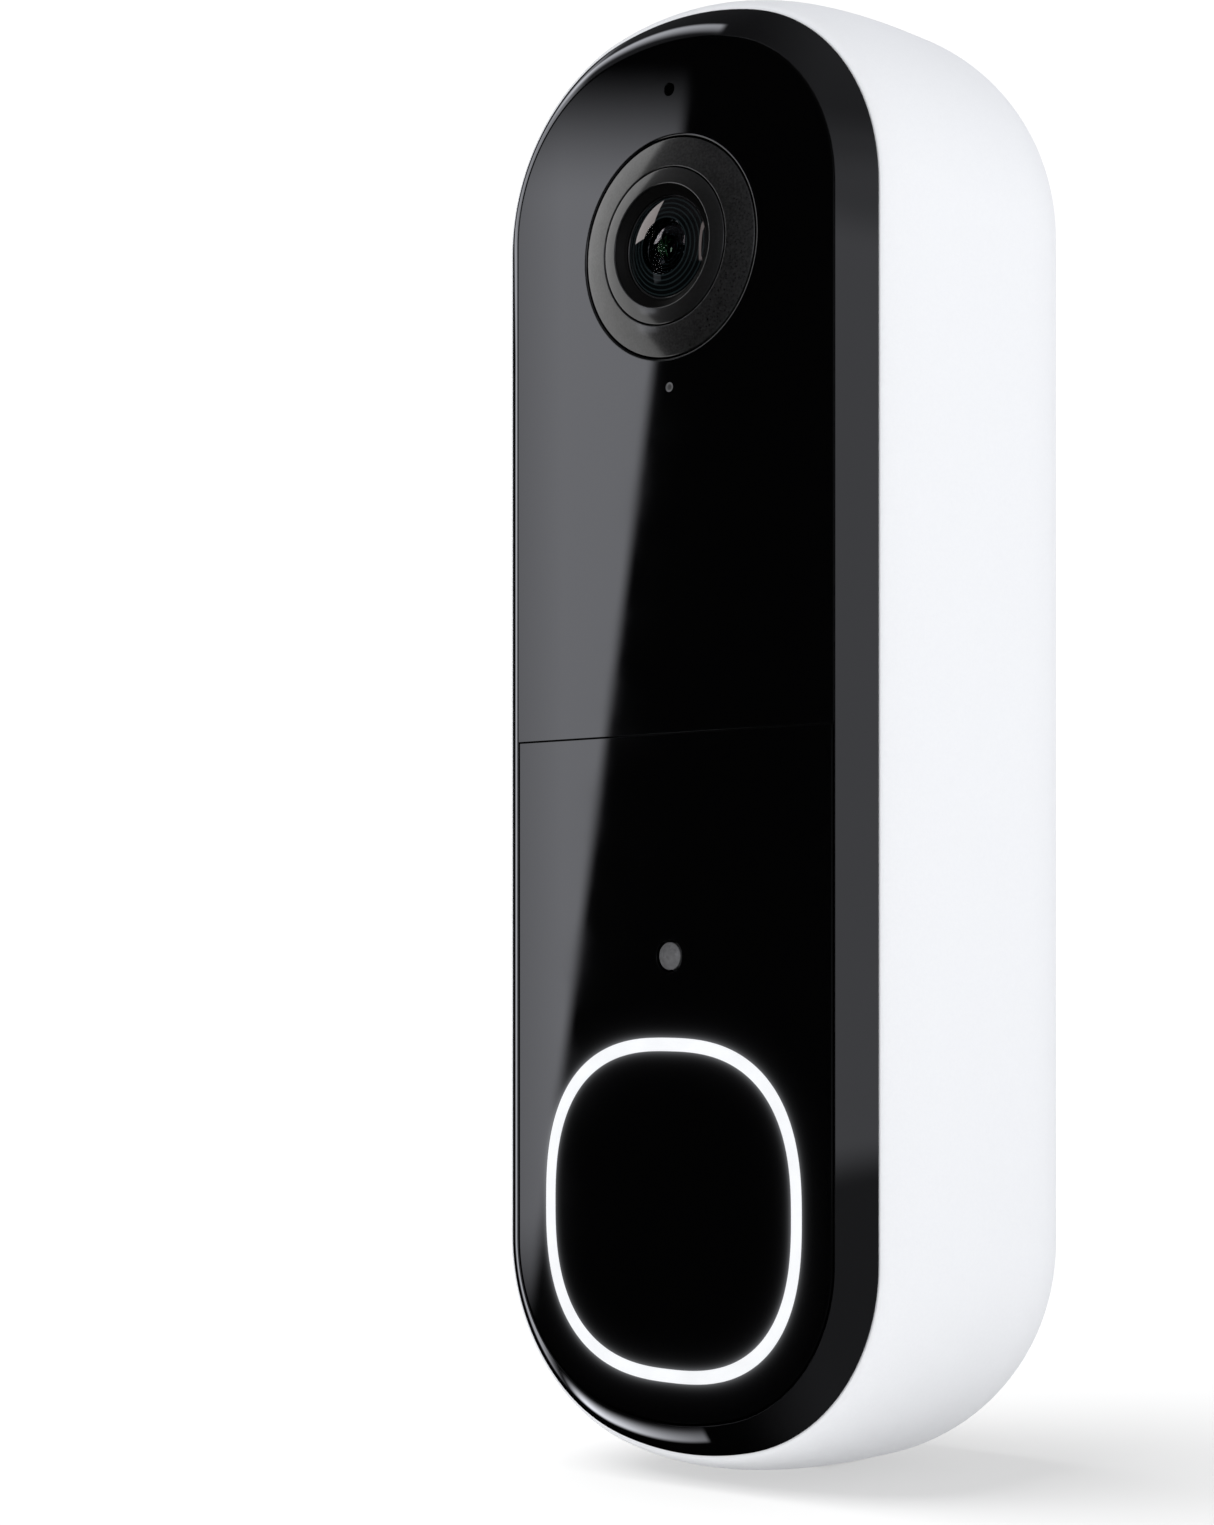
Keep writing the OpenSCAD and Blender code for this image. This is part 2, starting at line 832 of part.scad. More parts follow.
module speaker() color("black") stand() {
    basket_t = 1.5;
    magnet_r = speaker_r - 1;
    up_bar(0, speaker_low + basket_t, speaker_high, speaker_z, magnet_r);
    up_bar(0, speaker_low, speaker_low + basket_t + eps, speaker_z, speaker_r);
}

module speaker_gasket() color("dimgray") stand() {
    gasket_low = -63.1;
    bore_r = speaker_r - 1.2;
    difference() {
        up_bar(0, gasket_low, speaker_low, speaker_z, speaker_r);
        up_bar(0, gasket_low - 1, speaker_low + 1, speaker_z, bore_r);
    }
}

module housing_screws() color("silver") stand() {
    shank_r = 0.85;
    shank_low = floor_z + 5;
    head_r = 1.8;
    head_t = 1.2;
    for (y = [-1, 1] * housing_y) both_sides() {
        post(housing_x, y, shank_low, tray_top + eps, shank_r);
        post(housing_x, y, tray_top, tray_top + head_t, head_r);
    }
}

module charge_port() color("silver") stand() {
    half_w = 4.5;
    half_h = 1.65;
    wall = 0.3;
    inner_z = charge_board_z - 1;
    blade_half_w = 3.3;
    blade_half_h = 0.35;
    difference() {
        block(-half_w, half_w, charge_y - half_h, charge_y + half_h, recess_z + 0.1, charge_board_z);
        block(-half_w + wall, half_w - wall, charge_y - half_h + wall, charge_y + half_h - wall, 0, inner_z);
    }
    block(-blade_half_w, blade_half_w, charge_y - blade_half_h, charge_y + blade_half_h,
        recess_z + 1, inner_z + eps);
}

module charge_board() color("darkgreen") stand() {
    half_w = 7.5;
    half_h = 4;
    block(-half_w, half_w, charge_y - half_h, charge_y + half_h,
        charge_board_z, charge_board_z + charge_board_t);
}

module port_cover() color("gray") stand() {
    barrel_r = 0.9;
    axis_z = cover_z + barrel_r;
    flap_z = cover_z + 0.5;
    flap_t = 1.2;
    tab_half = 2;
    tab_len = 1.2;
    tab_t = 0.7;
    pin_half = port_half - pin_ear_gap;
    block(-cover_half, cover_half, cover_low, cover_hinge_y, flap_z, flap_z + flap_t);
    cross_bar(-cover_half, cover_half, cover_hinge_y, axis_z, barrel_r);
    block(-tab_half, tab_half, cover_low - tab_len, cover_low + eps, flap_z, flap_z + tab_t);
    cross_bar(-pin_half, pin_half, cover_hinge_y, axis_z, cover_pin_r);
}

module setup_button() color("orange") stand() {
    low = 2.4;
    flange_z = floor_z + 0.05;
    flange_t = 0.5;
    flange_r = setup_r + 0.6;
    post(0, setup_y, low, flange_z + eps, setup_r);
    post(0, setup_y, flange_z, flange_z + flange_t, flange_r);
}

module setup_switch() color("dimgray") stand() {
    low = floor_z + 1;
    switch_t = 0.7;
    post(0, setup_y, low, low + switch_t, setup_r);
}

module terminal_block() color("black") stand() {
    half_w = 8.2;
    half_h = 3.4;
    difference() {
        block(-half_w, half_w, terminal_y - half_h, terminal_y + half_h, terminal_z, recess_z);
        both_sides() post(terminal_x, terminal_y, terminal_z - 1, recess_z + 1, terminal_r);
    }
}

module terminal_screws() color("goldenrod") stand() {
    slot_w = 0.6;
    slot_depth = 0.6;
    head_r = 2.4;
    head_z = 1.2;
    both_sides() difference() {
        union() {
            post(terminal_x, terminal_y, head_z, terminal_z, head_r);
            post(terminal_x, terminal_y, terminal_z - eps, floor_z + 0.5, terminal_r);
        }
        block(terminal_x - head_r - 1, terminal_x + head_r + 1, terminal_y - slot_w / 2,
            terminal_y + slot_w / 2, head_z - 1, head_z + slot_depth);
    }
}

// ---- latch ----

module release_latch() color("gray") stand() {
    nose_y = catch_y - nose;
    root_y = catch_y + nose_gap;
    tongue_tip_z = 0.3;
    peg_len = 2;
    peg_r = 0.6;
    block(-slider_half, slider_half, slider_low, slider_high, slider_z, slider_top);
    up_bar(0, slider_high - eps, slider_high + peg_len, latch_axis_z, peg_r);
    translate([-tongue_half, 0, 0]) rotate([90, 0, 90]) linear_extrude(2 * tongue_half) polygon([
        [tongue_back_y, slider_z + eps], [tongue_back_y, tongue_tip_z], [nose_y, tongue_tip_z],
        [nose_y, catch_z - (root_y - nose_y) / catch_slope], [root_y, catch_z], [root_y, slider_z + eps]
    ]);
}

module latch_spring() color("silver") stand() {
    coil(0, slider_high, spring_stop_y, latch_axis_z, spring_r, spring_wire_r, spring_turns);
}

wall_plate();
hook_bar();
rear_shell();
front_bezel();
upper_panel();
button_panel();
light_ring();
motion_window();
pivot_rods();
lens_trim();
lens_hood();
lens_dome();
lens_barrel();
lens_elements();
lens_holder();
image_sensor();
camera_board();
infrared_lamps();
light_pipe();
microphone();
microphone_gasket();
main_board();
shield_can();
motion_sensor();
antenna();
ring_board();
ring_lamps();
switch_body();
switch_stem();
ribbon_cable();
chassis();
battery();
battery_pad();
speaker();
speaker_gasket();
perimeter_seal();
housing_screws();
charge_port();
charge_board();
port_cover();
setup_button();
setup_switch();
terminal_block();
terminal_screws();
release_latch();
latch_spring();
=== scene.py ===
import json
import math

import bmesh
import bpy
from mathutils import Matrix, Vector
from mathutils.geometry import tessellate_polygon


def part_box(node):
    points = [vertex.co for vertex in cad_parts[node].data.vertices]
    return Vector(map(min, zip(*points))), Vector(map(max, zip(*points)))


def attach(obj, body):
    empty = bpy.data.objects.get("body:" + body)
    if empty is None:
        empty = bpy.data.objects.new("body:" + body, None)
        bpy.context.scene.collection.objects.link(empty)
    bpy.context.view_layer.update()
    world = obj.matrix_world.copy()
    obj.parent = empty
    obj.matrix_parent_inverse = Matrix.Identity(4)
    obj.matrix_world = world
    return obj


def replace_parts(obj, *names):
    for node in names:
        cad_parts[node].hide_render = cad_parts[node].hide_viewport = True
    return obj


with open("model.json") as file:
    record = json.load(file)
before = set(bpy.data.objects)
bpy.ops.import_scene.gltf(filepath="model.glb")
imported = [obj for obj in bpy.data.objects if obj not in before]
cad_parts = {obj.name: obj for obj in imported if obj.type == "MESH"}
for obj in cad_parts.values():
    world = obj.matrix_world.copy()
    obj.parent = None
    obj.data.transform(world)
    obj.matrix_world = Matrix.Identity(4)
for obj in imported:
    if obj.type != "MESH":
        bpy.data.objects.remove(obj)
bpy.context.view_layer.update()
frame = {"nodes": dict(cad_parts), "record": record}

MM = 0.001
record = frame["record"]
BODY_OF = {node: body for body, nodes in record["behaviour"]["bodies"].items() for node in nodes}
SLOT_OF = {part["node"]: part["material_slot"] for part in record["subparts"]}


def middle(node):
    """The centre of a CAD node's box."""
    low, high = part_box(node)
    return (low + high) / 2


# ---------------------------------------------------------------- driving sizes
# The model stands against the wall plane y = 0 and faces -y. "out" is the distance from the wall.
shell_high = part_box("rear_shell")[1]
bezel_low, bezel_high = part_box("front_bezel")
HALF_W = shell_high.x
HALF_H = shell_high.z
FACE = -bezel_low.y
CORNER_R = 20.8 * MM
END_R = 34.8 * MM
FRAME_IN = HALF_W - bezel_high.x
CHAMFER_W = 3.0 * MM
CHAMFER_D = 2.55 * MM
EDGE = FACE - CHAMFER_D
SWELL_D = 16.0 * MM
BACK_ROUND_W = 8.35 * MM
BACK_ROUND_D = 12.6 * MM
WALL_GAP = 1.0 * MM
RECESS = 3.5 * MM
FLOOR = 5.5 * MM

SIDE_X = HALF_W - CORNER_R
END_Z = HALF_H - END_R
BLEND = END_R - CORNER_R
LEAN = math.asin(SIDE_X / BLEND)
CORNER_Z = END_Z + BLEND * math.cos(LEAN)

FRAME_R = CORNER_R - FRAME_IN
FACE_R = FRAME_R - CHAMFER_W
RIM_R = FRAME_R - 1.8 * MM
CAVITY_R = CORNER_R - 2.2 * MM

ring_low, ring_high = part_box("light_ring")
RING_STROKE = 1.2 * MM
RING_Z = (ring_low.z + ring_high.z) / 2
RING_HALF_W = ring_high.x - RING_STROKE / 2
RING_HALF_H = (ring_high.z - ring_low.z) / 2 - RING_STROKE / 2
RING_POWER = 2.57
SEAM_HALF = 0.072 * MM
PANEL_BACK = FACE - 1.8 * MM
PANEL_GAP = 0.15 * MM

trim_low, trim_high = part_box("lens_trim")
hood_low, hood_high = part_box("lens_hood")
LENS_Z = (trim_low.z + trim_high.z) / 2
TRIM_R = trim_high.x
HOOD_R = hood_high.x
HOOD_OUT = -hood_low.y
HOOD_SEAM = FACE + (HOOD_OUT - FACE) * 0.68
MOUTH_R = 5.55 * MM
BORE_R = 4.65 * MM
dome_low, dome_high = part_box("lens_dome")
DOME_R = dome_high.x
DOME_TOP = -dome_low.y
DOME_RISE = 0.75 * MM

plate_low, plate_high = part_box("wall_plate")
PLATE_T = -plate_low.y
PLATE_R = plate_high.x - SIDE_X
RECESS_R = PLATE_R + 0.3 * MM
SCREW_SPACING = 84 * MM
SOUND_OUT = -middle("speaker").y
LATCH_OUT = 6.9 * MM
COVER_HALF = 5.6 * MM
COVER_BARREL_R = 0.9 * MM


# ---------------------------------------------------------------- mesh helpers
# Faces that turn by more than this many degrees meet in a sharp edge.
SHARP_TURN = 40.0
# A turned ring with a smaller radius than this is a single point.
TIP_R = 0.0001 * MM


def stand(x, z, out):
    """A point given across, up and out from the wall, in the model's own frame."""
    return Vector((x, -out, z))


def outline(r):
    """The body's outline as (x, z) points for a corner radius r, anticlockwise seen from the front."""
    corner_steps, end_steps = 30, 10
    quarter = []
    for i in range(corner_steps + 1):
        a = i * (math.pi / 2 - LEAN) / corner_steps
        quarter.append((SIDE_X + r * math.cos(a), CORNER_Z + r * math.sin(a)))
    for i in range(1, end_steps + 1):
        a = math.pi / 2 - LEAN + i * LEAN / end_steps
        quarter.append(((r + BLEND) * math.cos(a), END_Z + (r + BLEND) * math.sin(a)))
    back = quarter[-2::-1]
    return (
        quarter
        + [(-x, z) for x, z in back]
        + [(-x, -z) for x, z in quarter]
        + [(x, -z) for x, z in back]
    )


def half_outline(r, upper, gap):
    """The part of the outline above or below the seam, kept clear of the seam by gap."""
    side = 1 if upper else -1
    points = [(x, z) for x, z in outline(r) if z * side > gap]
    start = next(i for i, (x, z) in enumerate(points) if x * side > 0 and z == side * CORNER_Z)
    points = points[start:] + points[:start]
    return [(side * (SIDE_X + r), side * gap)] + points + [(-side * (SIDE_X + r), side * gap)]


def circle(x, z, r, steps=64):
    return [
        (x + r * math.cos(2 * math.pi * i / steps), z + r * math.sin(2 * math.pi * i / steps))
        for i in range(steps)
    ]


def ring_outline(grow):
    """A rounded square round the ring's centre, grown from the ring's middle line."""
    steps = 240
    points = []
    for i in range(steps):
        a = 2 * math.pi * i / steps
        c, s = math.cos(a), math.sin(a)
        x = math.copysign(abs(c) ** (2 / RING_POWER), c) * (RING_HALF_W + grow)
        z = math.copysign(abs(s) ** (2 / RING_POWER), s) * (RING_HALF_H + grow)
        points.append((x, RING_Z + z))
    return points


def rectangle(x0, x1, z0, z1, cut=0.0):
    if not cut:
        return [(x0, z0), (x1, z0), (x1, z1), (x0, z1)]
    steps = 6
    points = []
    for cx, cz, start in ((x1 - cut, z0 + cut, -90), (x1 - cut, z1 - cut, 0),
                          (x0 + cut, z1 - cut, 90), (x0 + cut, z0 + cut, 180)):
        for i in range(steps + 1):
            a = math.radians(start + 90 * i / steps)
            points.append((cx + cut * math.cos(a), cz + cut * math.sin(a)))
    return points


def finish_mesh(name, bm, sharp=35.0, even=False):
    """Turns a bmesh into an object. even keeps large flat faces flat up to their rounded edges."""
    bmesh.ops.recalc_face_normals(bm, faces=bm.faces)
    mesh = bpy.data.meshes.new(name)
    bm.to_mesh(mesh)
    bm.free()
    mesh.set_sharp_from_angle(angle=math.radians(sharp))
    obj = bpy.data.objects.new(name, mesh)
    bpy.context.scene.collection.objects.link(obj)
    if even:
        even_normals(obj)
    return obj


def even_normals(obj):
    """Gives each face corner a normal in which large flat areas outweigh small rounded ones."""
    mesh = obj.data
    limit = math.cos(math.radians(SHARP_TURN))
    same_plane = 0.02 * MM
    plane_of = []
    area, largest, normal_of = {}, {}, {}
    around = [set() for _ in mesh.vertices]
    for face in mesh.polygons:
        n = face.normal
        plane = (round(n.x, 3), round(n.y, 3), round(n.z, 3), round(n.dot(face.center) / same_plane))
        plane_of.append(plane)
        if face.area >= largest.get(plane, 0):
            largest[plane] = face.area
            normal_of[plane] = n.copy()
        area[plane] = area.get(plane, 0) + face.area
        for v in face.vertices:
            around[v].add(plane)
    normals = []
    for face, plane in zip(mesh.polygons, plane_of):
        for v in face.vertices:
            total = Vector((0, 0, 0))
            for other in around[v]:
                if normal_of[other].dot(normal_of[plane]) > limit:
                    total += normal_of[other] * area[other]
            normals.append(total.normalized())
    mesh.normals_split_custom_set(normals)


def ring_faces(bm, a, b):
    """A band of faces between two rings of vertices; a ring of one vertex is a tip."""
    n = max(len(a), len(b))
    for j in range(n):
        k = (j + 1) % n
        corners = [a[j % len(a)], a[k % len(a)], b[k % len(b)], b[j % len(b)]]
        face = bm.faces.new(list(dict.fromkeys(corners)))
        face.smooth = True


def loft(name, levels, closed, sharp=35.0):
    """Outline rings at (radius, out) levels, joined in order: a closed ring, or a solid with two caps."""
    bm = bmesh.new()
    rings = [[bm.verts.new(stand(x, z, out)) for x, z in outline(r)] for r, out in levels]
    for a, b in zip(rings, rings[1:]):
        ring_faces(bm, a, b)
    if closed:
        ring_faces(bm, rings[-1], rings[0])
    else:
        bm.faces.new(rings[0])
        bm.faces.new(rings[-1])
    return finish_mesh(name, bm, sharp)


def lathe(name, profile, z, steps=160, sharp=35.0):
    """Turns a closed profile of (radius, out) points about the axis at height z."""
    bm = bmesh.new()
    rings = []
    for r, out in profile:
        if r < TIP_R:
            rings.append([bm.verts.new(stand(0, z, out))])
        else:
            rings.append([bm.verts.new(stand(px, pz, out)) for px, pz in circle(0, z, r, steps)])
    for a, b in zip(rings, rings[1:] + rings[:1]):
        if len(a) > 1 or len(b) > 1:
            ring_faces(bm, a, b)
    return finish_mesh(name, bm, sharp)


def edge_levels(low, high, edge, back_edge):
    """(inset, out) steps up a plate's side, with a rounded front edge and a rounded back edge."""
    steps = 5
    levels = []
    for i in range(steps + 1 if back_edge else 1):
        a = math.pi / 2 * i / steps
        levels.append((back_edge * (1 - math.sin(a)), low + back_edge * (1 - math.cos(a))))
    for i in range(steps + 1):
        a = math.pi / 2 * i / steps
        levels.append((edge * (1 - math.cos(a)), high - edge + edge * math.sin(a)))
    return levels


def plate_mesh(bm, loops, low, high, edge, back_edge=0.0):
    """A flat plate with rounded edges. loops are functions of an inset: the first is the outside."""
    levels = edge_levels(low, high, edge, back_edge)
    bottom, top = [], []
    for loop in loops:
        rings = [[bm.verts.new(stand(x, z, out)) for x, z in loop(inset)] for inset, out in levels]
        for a, b in zip(rings, rings[1:]):
            ring_faces(bm, a, b)
        bottom.append(rings[0])
        top.append(rings[-1])
    for rings in (bottom, top):
        flat = [v for ring in rings for v in ring]
        triangles = tessellate_polygon([[Vector((v.co.x, v.co.z, 0)) for v in ring] for ring in rings])
        for tri in triangles:
            bm.faces.new([flat[i] for i in tri])


def plate(name, loops, low, high, edge, back_edge=0.0, extra=()):
    """A plate, with further plates of the same piece in extra as (loops, low, high, edge)."""
    bm = bmesh.new()
    plate_mesh(bm, loops, low, high, edge, back_edge)
    for more in extra:
        plate_mesh(bm, *more)
    return finish_mesh(name, bm, 50.0, even=True)


def rounded(points, radii):
    """Rounds the corners of a closed profile; radii gives each corner's radius."""
    steps = 5
    result = []
    n = len(points)
    for i, (p, r) in enumerate(zip(points, radii)):
        if not r:
            result.append(p)
            continue
        here = Vector(p)
        before = (Vector(points[i - 1]) - here).normalized()
        after = (Vector(points[(i + 1) % n]) - here).normalized()
        half = before.angle(after) / 2
        reach = r / math.tan(half)
        centre = here + (before + after).normalized() * (r / math.sin(half))
        start = here + before * reach - centre
        end = here + after * reach - centre
        turn = start.angle_signed(end)
        for k in range(steps + 1):
            arm = Matrix.Rotation(-turn * k / steps, 2) @ start
            result.append(tuple(centre + arm))
    return result


def quarter_ellipse(cr, cout, wide, deep, a0, a1, steps):
    points = []
    for i in range(steps + 1):
        a = math.radians(a0 + (a1 - a0) * i / steps)
        points.append((cr + wide * math.cos(a), cout + deep * math.sin(a)))
    return points


PRISM_POINT = {
    "x": lambda p, t: stand(t, p[0], p[1]),
    "z": lambda p, t: stand(p[0], t, p[1]),
    "out": lambda p, t: stand(p[0], p[1], t),
}


def prism(name, points, along, start, end, bevel=0.0):
    """A polygon carried along x, z or out. Its points are (z, out), (x, out) or (x, z)."""
    bm = bmesh.new()
    ends = [[bm.verts.new(PRISM_POINT[along](p, t)) for p in points] for t in (start, end)]
    ring_faces(bm, *ends)
    for ring in ends:
        bm.faces.new(ring)
    if bevel:
        soften(bm, bevel)
    return finish_mesh(name, bm, 40.0, even=True)


def soften(bm, width):
    """Rounds every sharp edge of a closed mesh."""
    sharp = math.radians(SHARP_TURN)
    edges = [e for e in bm.edges if len(e.link_faces) == 2 and e.calc_face_angle(0) > sharp]
    bmesh.ops.bevel(bm, geom=edges, offset=width, segments=2, profile=0.5, affect="EDGES", clamp_overlap=True)


def cut_away(obj, cutters):
    """Cuts each cutter out of obj and deletes the cutters."""
    for cutter in cutters:
        mod = obj.modifiers.new("cut", "BOOLEAN")
        mod.object = cutter
        mod.solver = "EXACT"
    bpy.context.view_layer.update()
    mesh = bpy.data.meshes.new_from_object(obj.evaluated_get(bpy.context.evaluated_depsgraph_get()))
    obj.modifiers.clear()
    obj.data = mesh
    for cutter in cutters:
        bpy.data.objects.remove(cutter)
    even_normals(obj)
    return obj


def joined(obj, others):
    """Adds the other objects' meshes to obj, as parts of one piece."""
    bm = bmesh.new()
    for part in [obj, *others]:
        bm.from_mesh(part.data)
    bm.to_mesh(obj.data)
    bm.free()
    for part in others:
        bpy.data.objects.remove(part)
    even_normals(obj)
    return obj


def dress(obj, node, mat=None):
    """Puts a piece on a CAD node's body with that node's material slot."""
    slot = SLOT_OF[node]
    obj.data.materials.clear()
    obj.data.materials.append(mat or SLOT_MATERIALS[slot])
    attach(obj, BODY_OF[node])
    return obj


def stand_for(obj, node, mat=None):
    """Puts a finished piece in a CAD node's place."""
    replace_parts(dress(obj, node, mat), node)
    return obj


# ---------------------------------------------------------------- materials
class Nodes:
    """A short way to write a node tree."""

    def __init__(self, tree):
        self.tree = tree

    def add(self, kind, inputs=None, **settings):
        node = self.tree.nodes.new(kind)
        for key, value in settings.items():
            setattr(node, key, value)
        for key, value in (inputs or {}).items():
            if isinstance(value, bpy.types.NodeSocket):
                self.tree.links.new(value, node.inputs[key])
            else:
                node.inputs[key].default_value = value
        return node

    def math(self, operation, a, b=0.0):
        return self.add("ShaderNodeMath", {0: a, 1: b}, operation=operation).outputs[0]

    def chain(self, operation, first, *others):
        """Joins several values by one operation, such as ADD or MULTIPLY."""
        for other in others:
            first = self.math(operation, first, other)
        return first

    def ramp(self, value, low, high, start, end):
        """Goes evenly from start to end while value goes from low to high."""
        return self.add("ShaderNodeMapRange", {0: value, 1: low, 2: high, 3: start, 4: end}).outputs[0]

    def step(self, value, low, high):
        """Goes smoothly from 0 to 1 while value goes from low to high."""
        node = self.add("ShaderNodeMapRange", {0: value, 1: low, 2: high, 3: 0.0, 4: 1.0},
                        interpolation_type="SMOOTHSTEP")
        return node.outputs[0]

    def point(self):
        """The shaded point in the piece's own space."""
        return self.add("ShaderNodeTexCoord").outputs["Object"]

    def across_and_up(self):
        """The shaded point's distance across and up in the piece's own space."""
        across, _, up = self.add("ShaderNodeSeparateXYZ", {0: self.point()}).outputs
        return across, up

    def noise(self, size, detail):
        """Noise in patches of the given size."""
        node = self.add("ShaderNodeTexNoise", {"Vector": self.point(), "Scale": 1 / size, "Detail": detail})
        return node.outputs[0]


class Surface(Nodes):
    """A Principled material and the nodes that feed its shader."""

    def __init__(self, name, color, roughness, **sockets):
        self.mat = bpy.data.materials.new(name)
        self.mat.use_nodes = True
        super().__init__(self.mat.node_tree)
        self.shader = self.tree.nodes["Principled BSDF"]
        self.shader.inputs["Base Color"].default_value = (*color, 1)
        self.shader.inputs["Roughness"].default_value = roughness
        for key, value in sockets.items():
            self.shader.inputs[key.replace("_", " ")].default_value = value

    def feed(self, socket, value):
        self.tree.links.new(value, self.shader.inputs[socket])

    def blend(self, socket, share, low, high):
        """Feeds a socket with a mix of two colours."""
        mix = self.add("ShaderNodeMix", {0: share, 6: (*low, 1), 7: (*high, 1)}, data_type="RGBA")
        self.feed(socket, mix.outputs[2])

    def tint(self, low, high, size):
        """Varies the base colour between two colours over patches of the given size."""
        self.blend("Base Color", self.noise(size, 3.0), low, high)

    def vary(self, socket, low, high, size):
        """Varies a socket between two values over patches of the given size."""
        self.feed(socket, self.ramp(self.noise(size, 2.0), 0.3, 0.7, low, high))

    def bump(self, height, depth, strength):
        """Raises the surface by a height from 0 to 1 times a depth in metres."""
        node = self.add("ShaderNodeBump", {"Height": height, "Distance": depth, "Strength": strength})
        self.feed("Normal", node.outputs[0])

    def grain(self, size, depth):
        """A fine bump of the given grain size and depth, in metres."""
        self.bump(self.noise(size, 3.0), depth, 0.4)


def white_shell():
    """Matte white plastic with a fine spark-eroded grain."""
    paint = Surface("shell_white", (0.86, 0.87, 0.89), 0.5)
    paint.tint((0.845, 0.855, 0.88), (0.885, 0.895, 0.915), 0.3 * MM)
    paint.vary("Roughness", 0.46, 0.6, 1.5 * MM)
    paint.grain(0.14 * MM, 0.016 * MM)
    return paint.mat


def gloss_black(name, **sockets):
    """Black glass-like plastic, its gloss very slightly uneven."""
    paint = Surface(name, (0.0008, 0.0008, 0.0009), 0.02, **sockets)
    paint.vary("Roughness", 0.012, 0.028, 6 * MM)
    return paint


def panel_black():
    """Gloss black with the ring's light spreading a little way into it."""
    paint = gloss_black("panel_black", Emission_Color=(0.93, 0.95, 1.0, 1))
    x, z = paint.across_and_up()
    across = paint.math("DIVIDE", paint.math("ABSOLUTE", x), RING_HALF_W)
    from_ring = paint.math("ABSOLUTE", paint.math("SUBTRACT", z, RING_Z))
    upward = paint.math("DIVIDE", from_ring, RING_HALF_H)
    powers = [paint.math("POWER", part, RING_POWER) for part in (across, upward)]
    level = paint.math("POWER", paint.math("ADD", *powers), 1 / RING_POWER)
    away = paint.math("MULTIPLY", paint.math("ABSOLUTE", paint.math("SUBTRACT", level, 1.0)), RING_HALF_W)
    past = paint.math("SUBTRACT", away, RING_STROKE / 2)
    glows = []
    for reach, strength in ((0.2 * MM, 0.12), (0.7 * MM, 0.012)):
        fall = paint.math("EXPONENT", paint.math("DIVIDE", past, -reach))
        glows.append(paint.math("MULTIPLY", fall, strength))
    paint.feed("Emission Strength", paint.math("ADD", *glows))
    return paint.mat


def ring_light():
    """A lit diffuser, very slightly uneven along its length."""
    paint = Surface("ring_light", (0.35, 0.36, 0.37), 0.35, Emission_Color=(0.97, 0.98, 1.0, 1))
    paint.vary("Emission Strength", 0.6, 0.66, 3 * MM)
    return paint.mat


def simple(name, low, high, roughness, size, depth=0.006 * MM, **sockets):
    """A moulded or metal surface: patches of colour, patches of gloss and a fine grain."""
    paint = Surface(name, low, roughness, **sockets)
    paint.tint(low, high, size)
    paint.vary("Roughness", roughness * 0.85, roughness * 1.15, size * 3)
    paint.grain(0.12 * MM, depth)
    return paint.mat


def trim_paint(name, shade, speckle):
    """Dark paint with a fine speckle under a satin varnish."""
    paint = Surface(name, (shade, shade, shade * 1.03), 0.5, Coat_Weight=0.9, Coat_Roughness=0.13,
                    Specular_IOR_Level=0.15)
    marks = paint.noise(0.22 * MM, 3.0)
    spread = paint.ramp(marks, 0.35, 0.65, 0.0, 1.0)
    low, high = shade * (1 - speckle), shade * (1 + speckle)
    paint.blend("Base Color", spread, (low, low, low), (high, high, high))
    paint.bump(marks, 0.01 * MM, 0.3)
    paint.vary("Roughness", 0.45, 0.55, 1 * MM)
    return paint.mat


def circuit_board():
    """Green solder mask over raised copper tracks."""
    paint = Surface("board_green", (0.012, 0.1, 0.04), 0.35)
    brick_colors = {"Color1": (0.01, 0.085, 0.032, 1), "Color2": (0.014, 0.105, 0.04, 1),
                    "Mortar": (0.022, 0.17, 0.07, 1), "Mortar Size": 0.05}
    color, height = paint.add("ShaderNodeTexBrick", {"Vector": paint.point(), "Scale": 1 / (2.4 * MM),
                                                     **brick_colors}).outputs
    paint.feed("Base Color", color)
    paint.bump(height, 0.02 * MM, 0.5)
    paint.vary("Roughness", 0.3, 0.42, 2 * MM)
    return paint.mat


def clear_glass():
    """The bloomed middle of a lens element, which hardly reflects."""
    paint = Surface("clear_glass", (0.94, 0.96, 0.97), 0.0, Transmission_Weight=1.0, IOR=1.06)
    paint.tint((0.92, 0.95, 0.97), (0.96, 0.97, 0.98), 1 * MM)
    paint.vary("Roughness", 0.0, 0.004, 2 * MM)
    return paint.mat


def glass_edge(name, coating, pitch, reflection_dimmed_below):
    """The blackened outer part of a lens element under a tinted coating, with lighter rings painted in its
    base colour for the ringed mount behind it, partly a painted reflection of the light its ring edges catch.

    Below the height given as the last argument, measured from the lens centre, the reflection is painted
    weaker: painted shade on the reflection.
    """
    paint = Surface(name, (0.002, 0.002, 0.002), 0.0, IOR=1.45)
    x, z = paint.across_and_up()
    up = paint.math("SUBTRACT", z, LENS_Z)
    squares = paint.math("ADD", paint.math("POWER", x, 2.0), paint.math("POWER", up, 2.0))
    wave = paint.math("SINE", paint.math("MULTIPLY", paint.math("SQRT", squares), 2 * math.pi / pitch))
    rings = paint.step(wave, 0.2, 1.0)
    # lighter rings in the base colour: the ringed mount behind the glass, partly a painted reflection of its
    # lit ring edges
    paint.blend("Base Color", rings, (0.0012, 0.0016, 0.0018), (0.008, 0.012, 0.013))
    # painted shade on the reflection: its tint falls to near black below the given height
    reflection_kept = paint.step(up, reflection_dimmed_below - 0.3 * MM, reflection_dimmed_below)
    paint.blend("Specular Tint", reflection_kept, (0.03, 0.04, 0.045), coating)
    paint.vary("Roughness", 0.0, 0.006, 2 * MM)
    return paint.mat


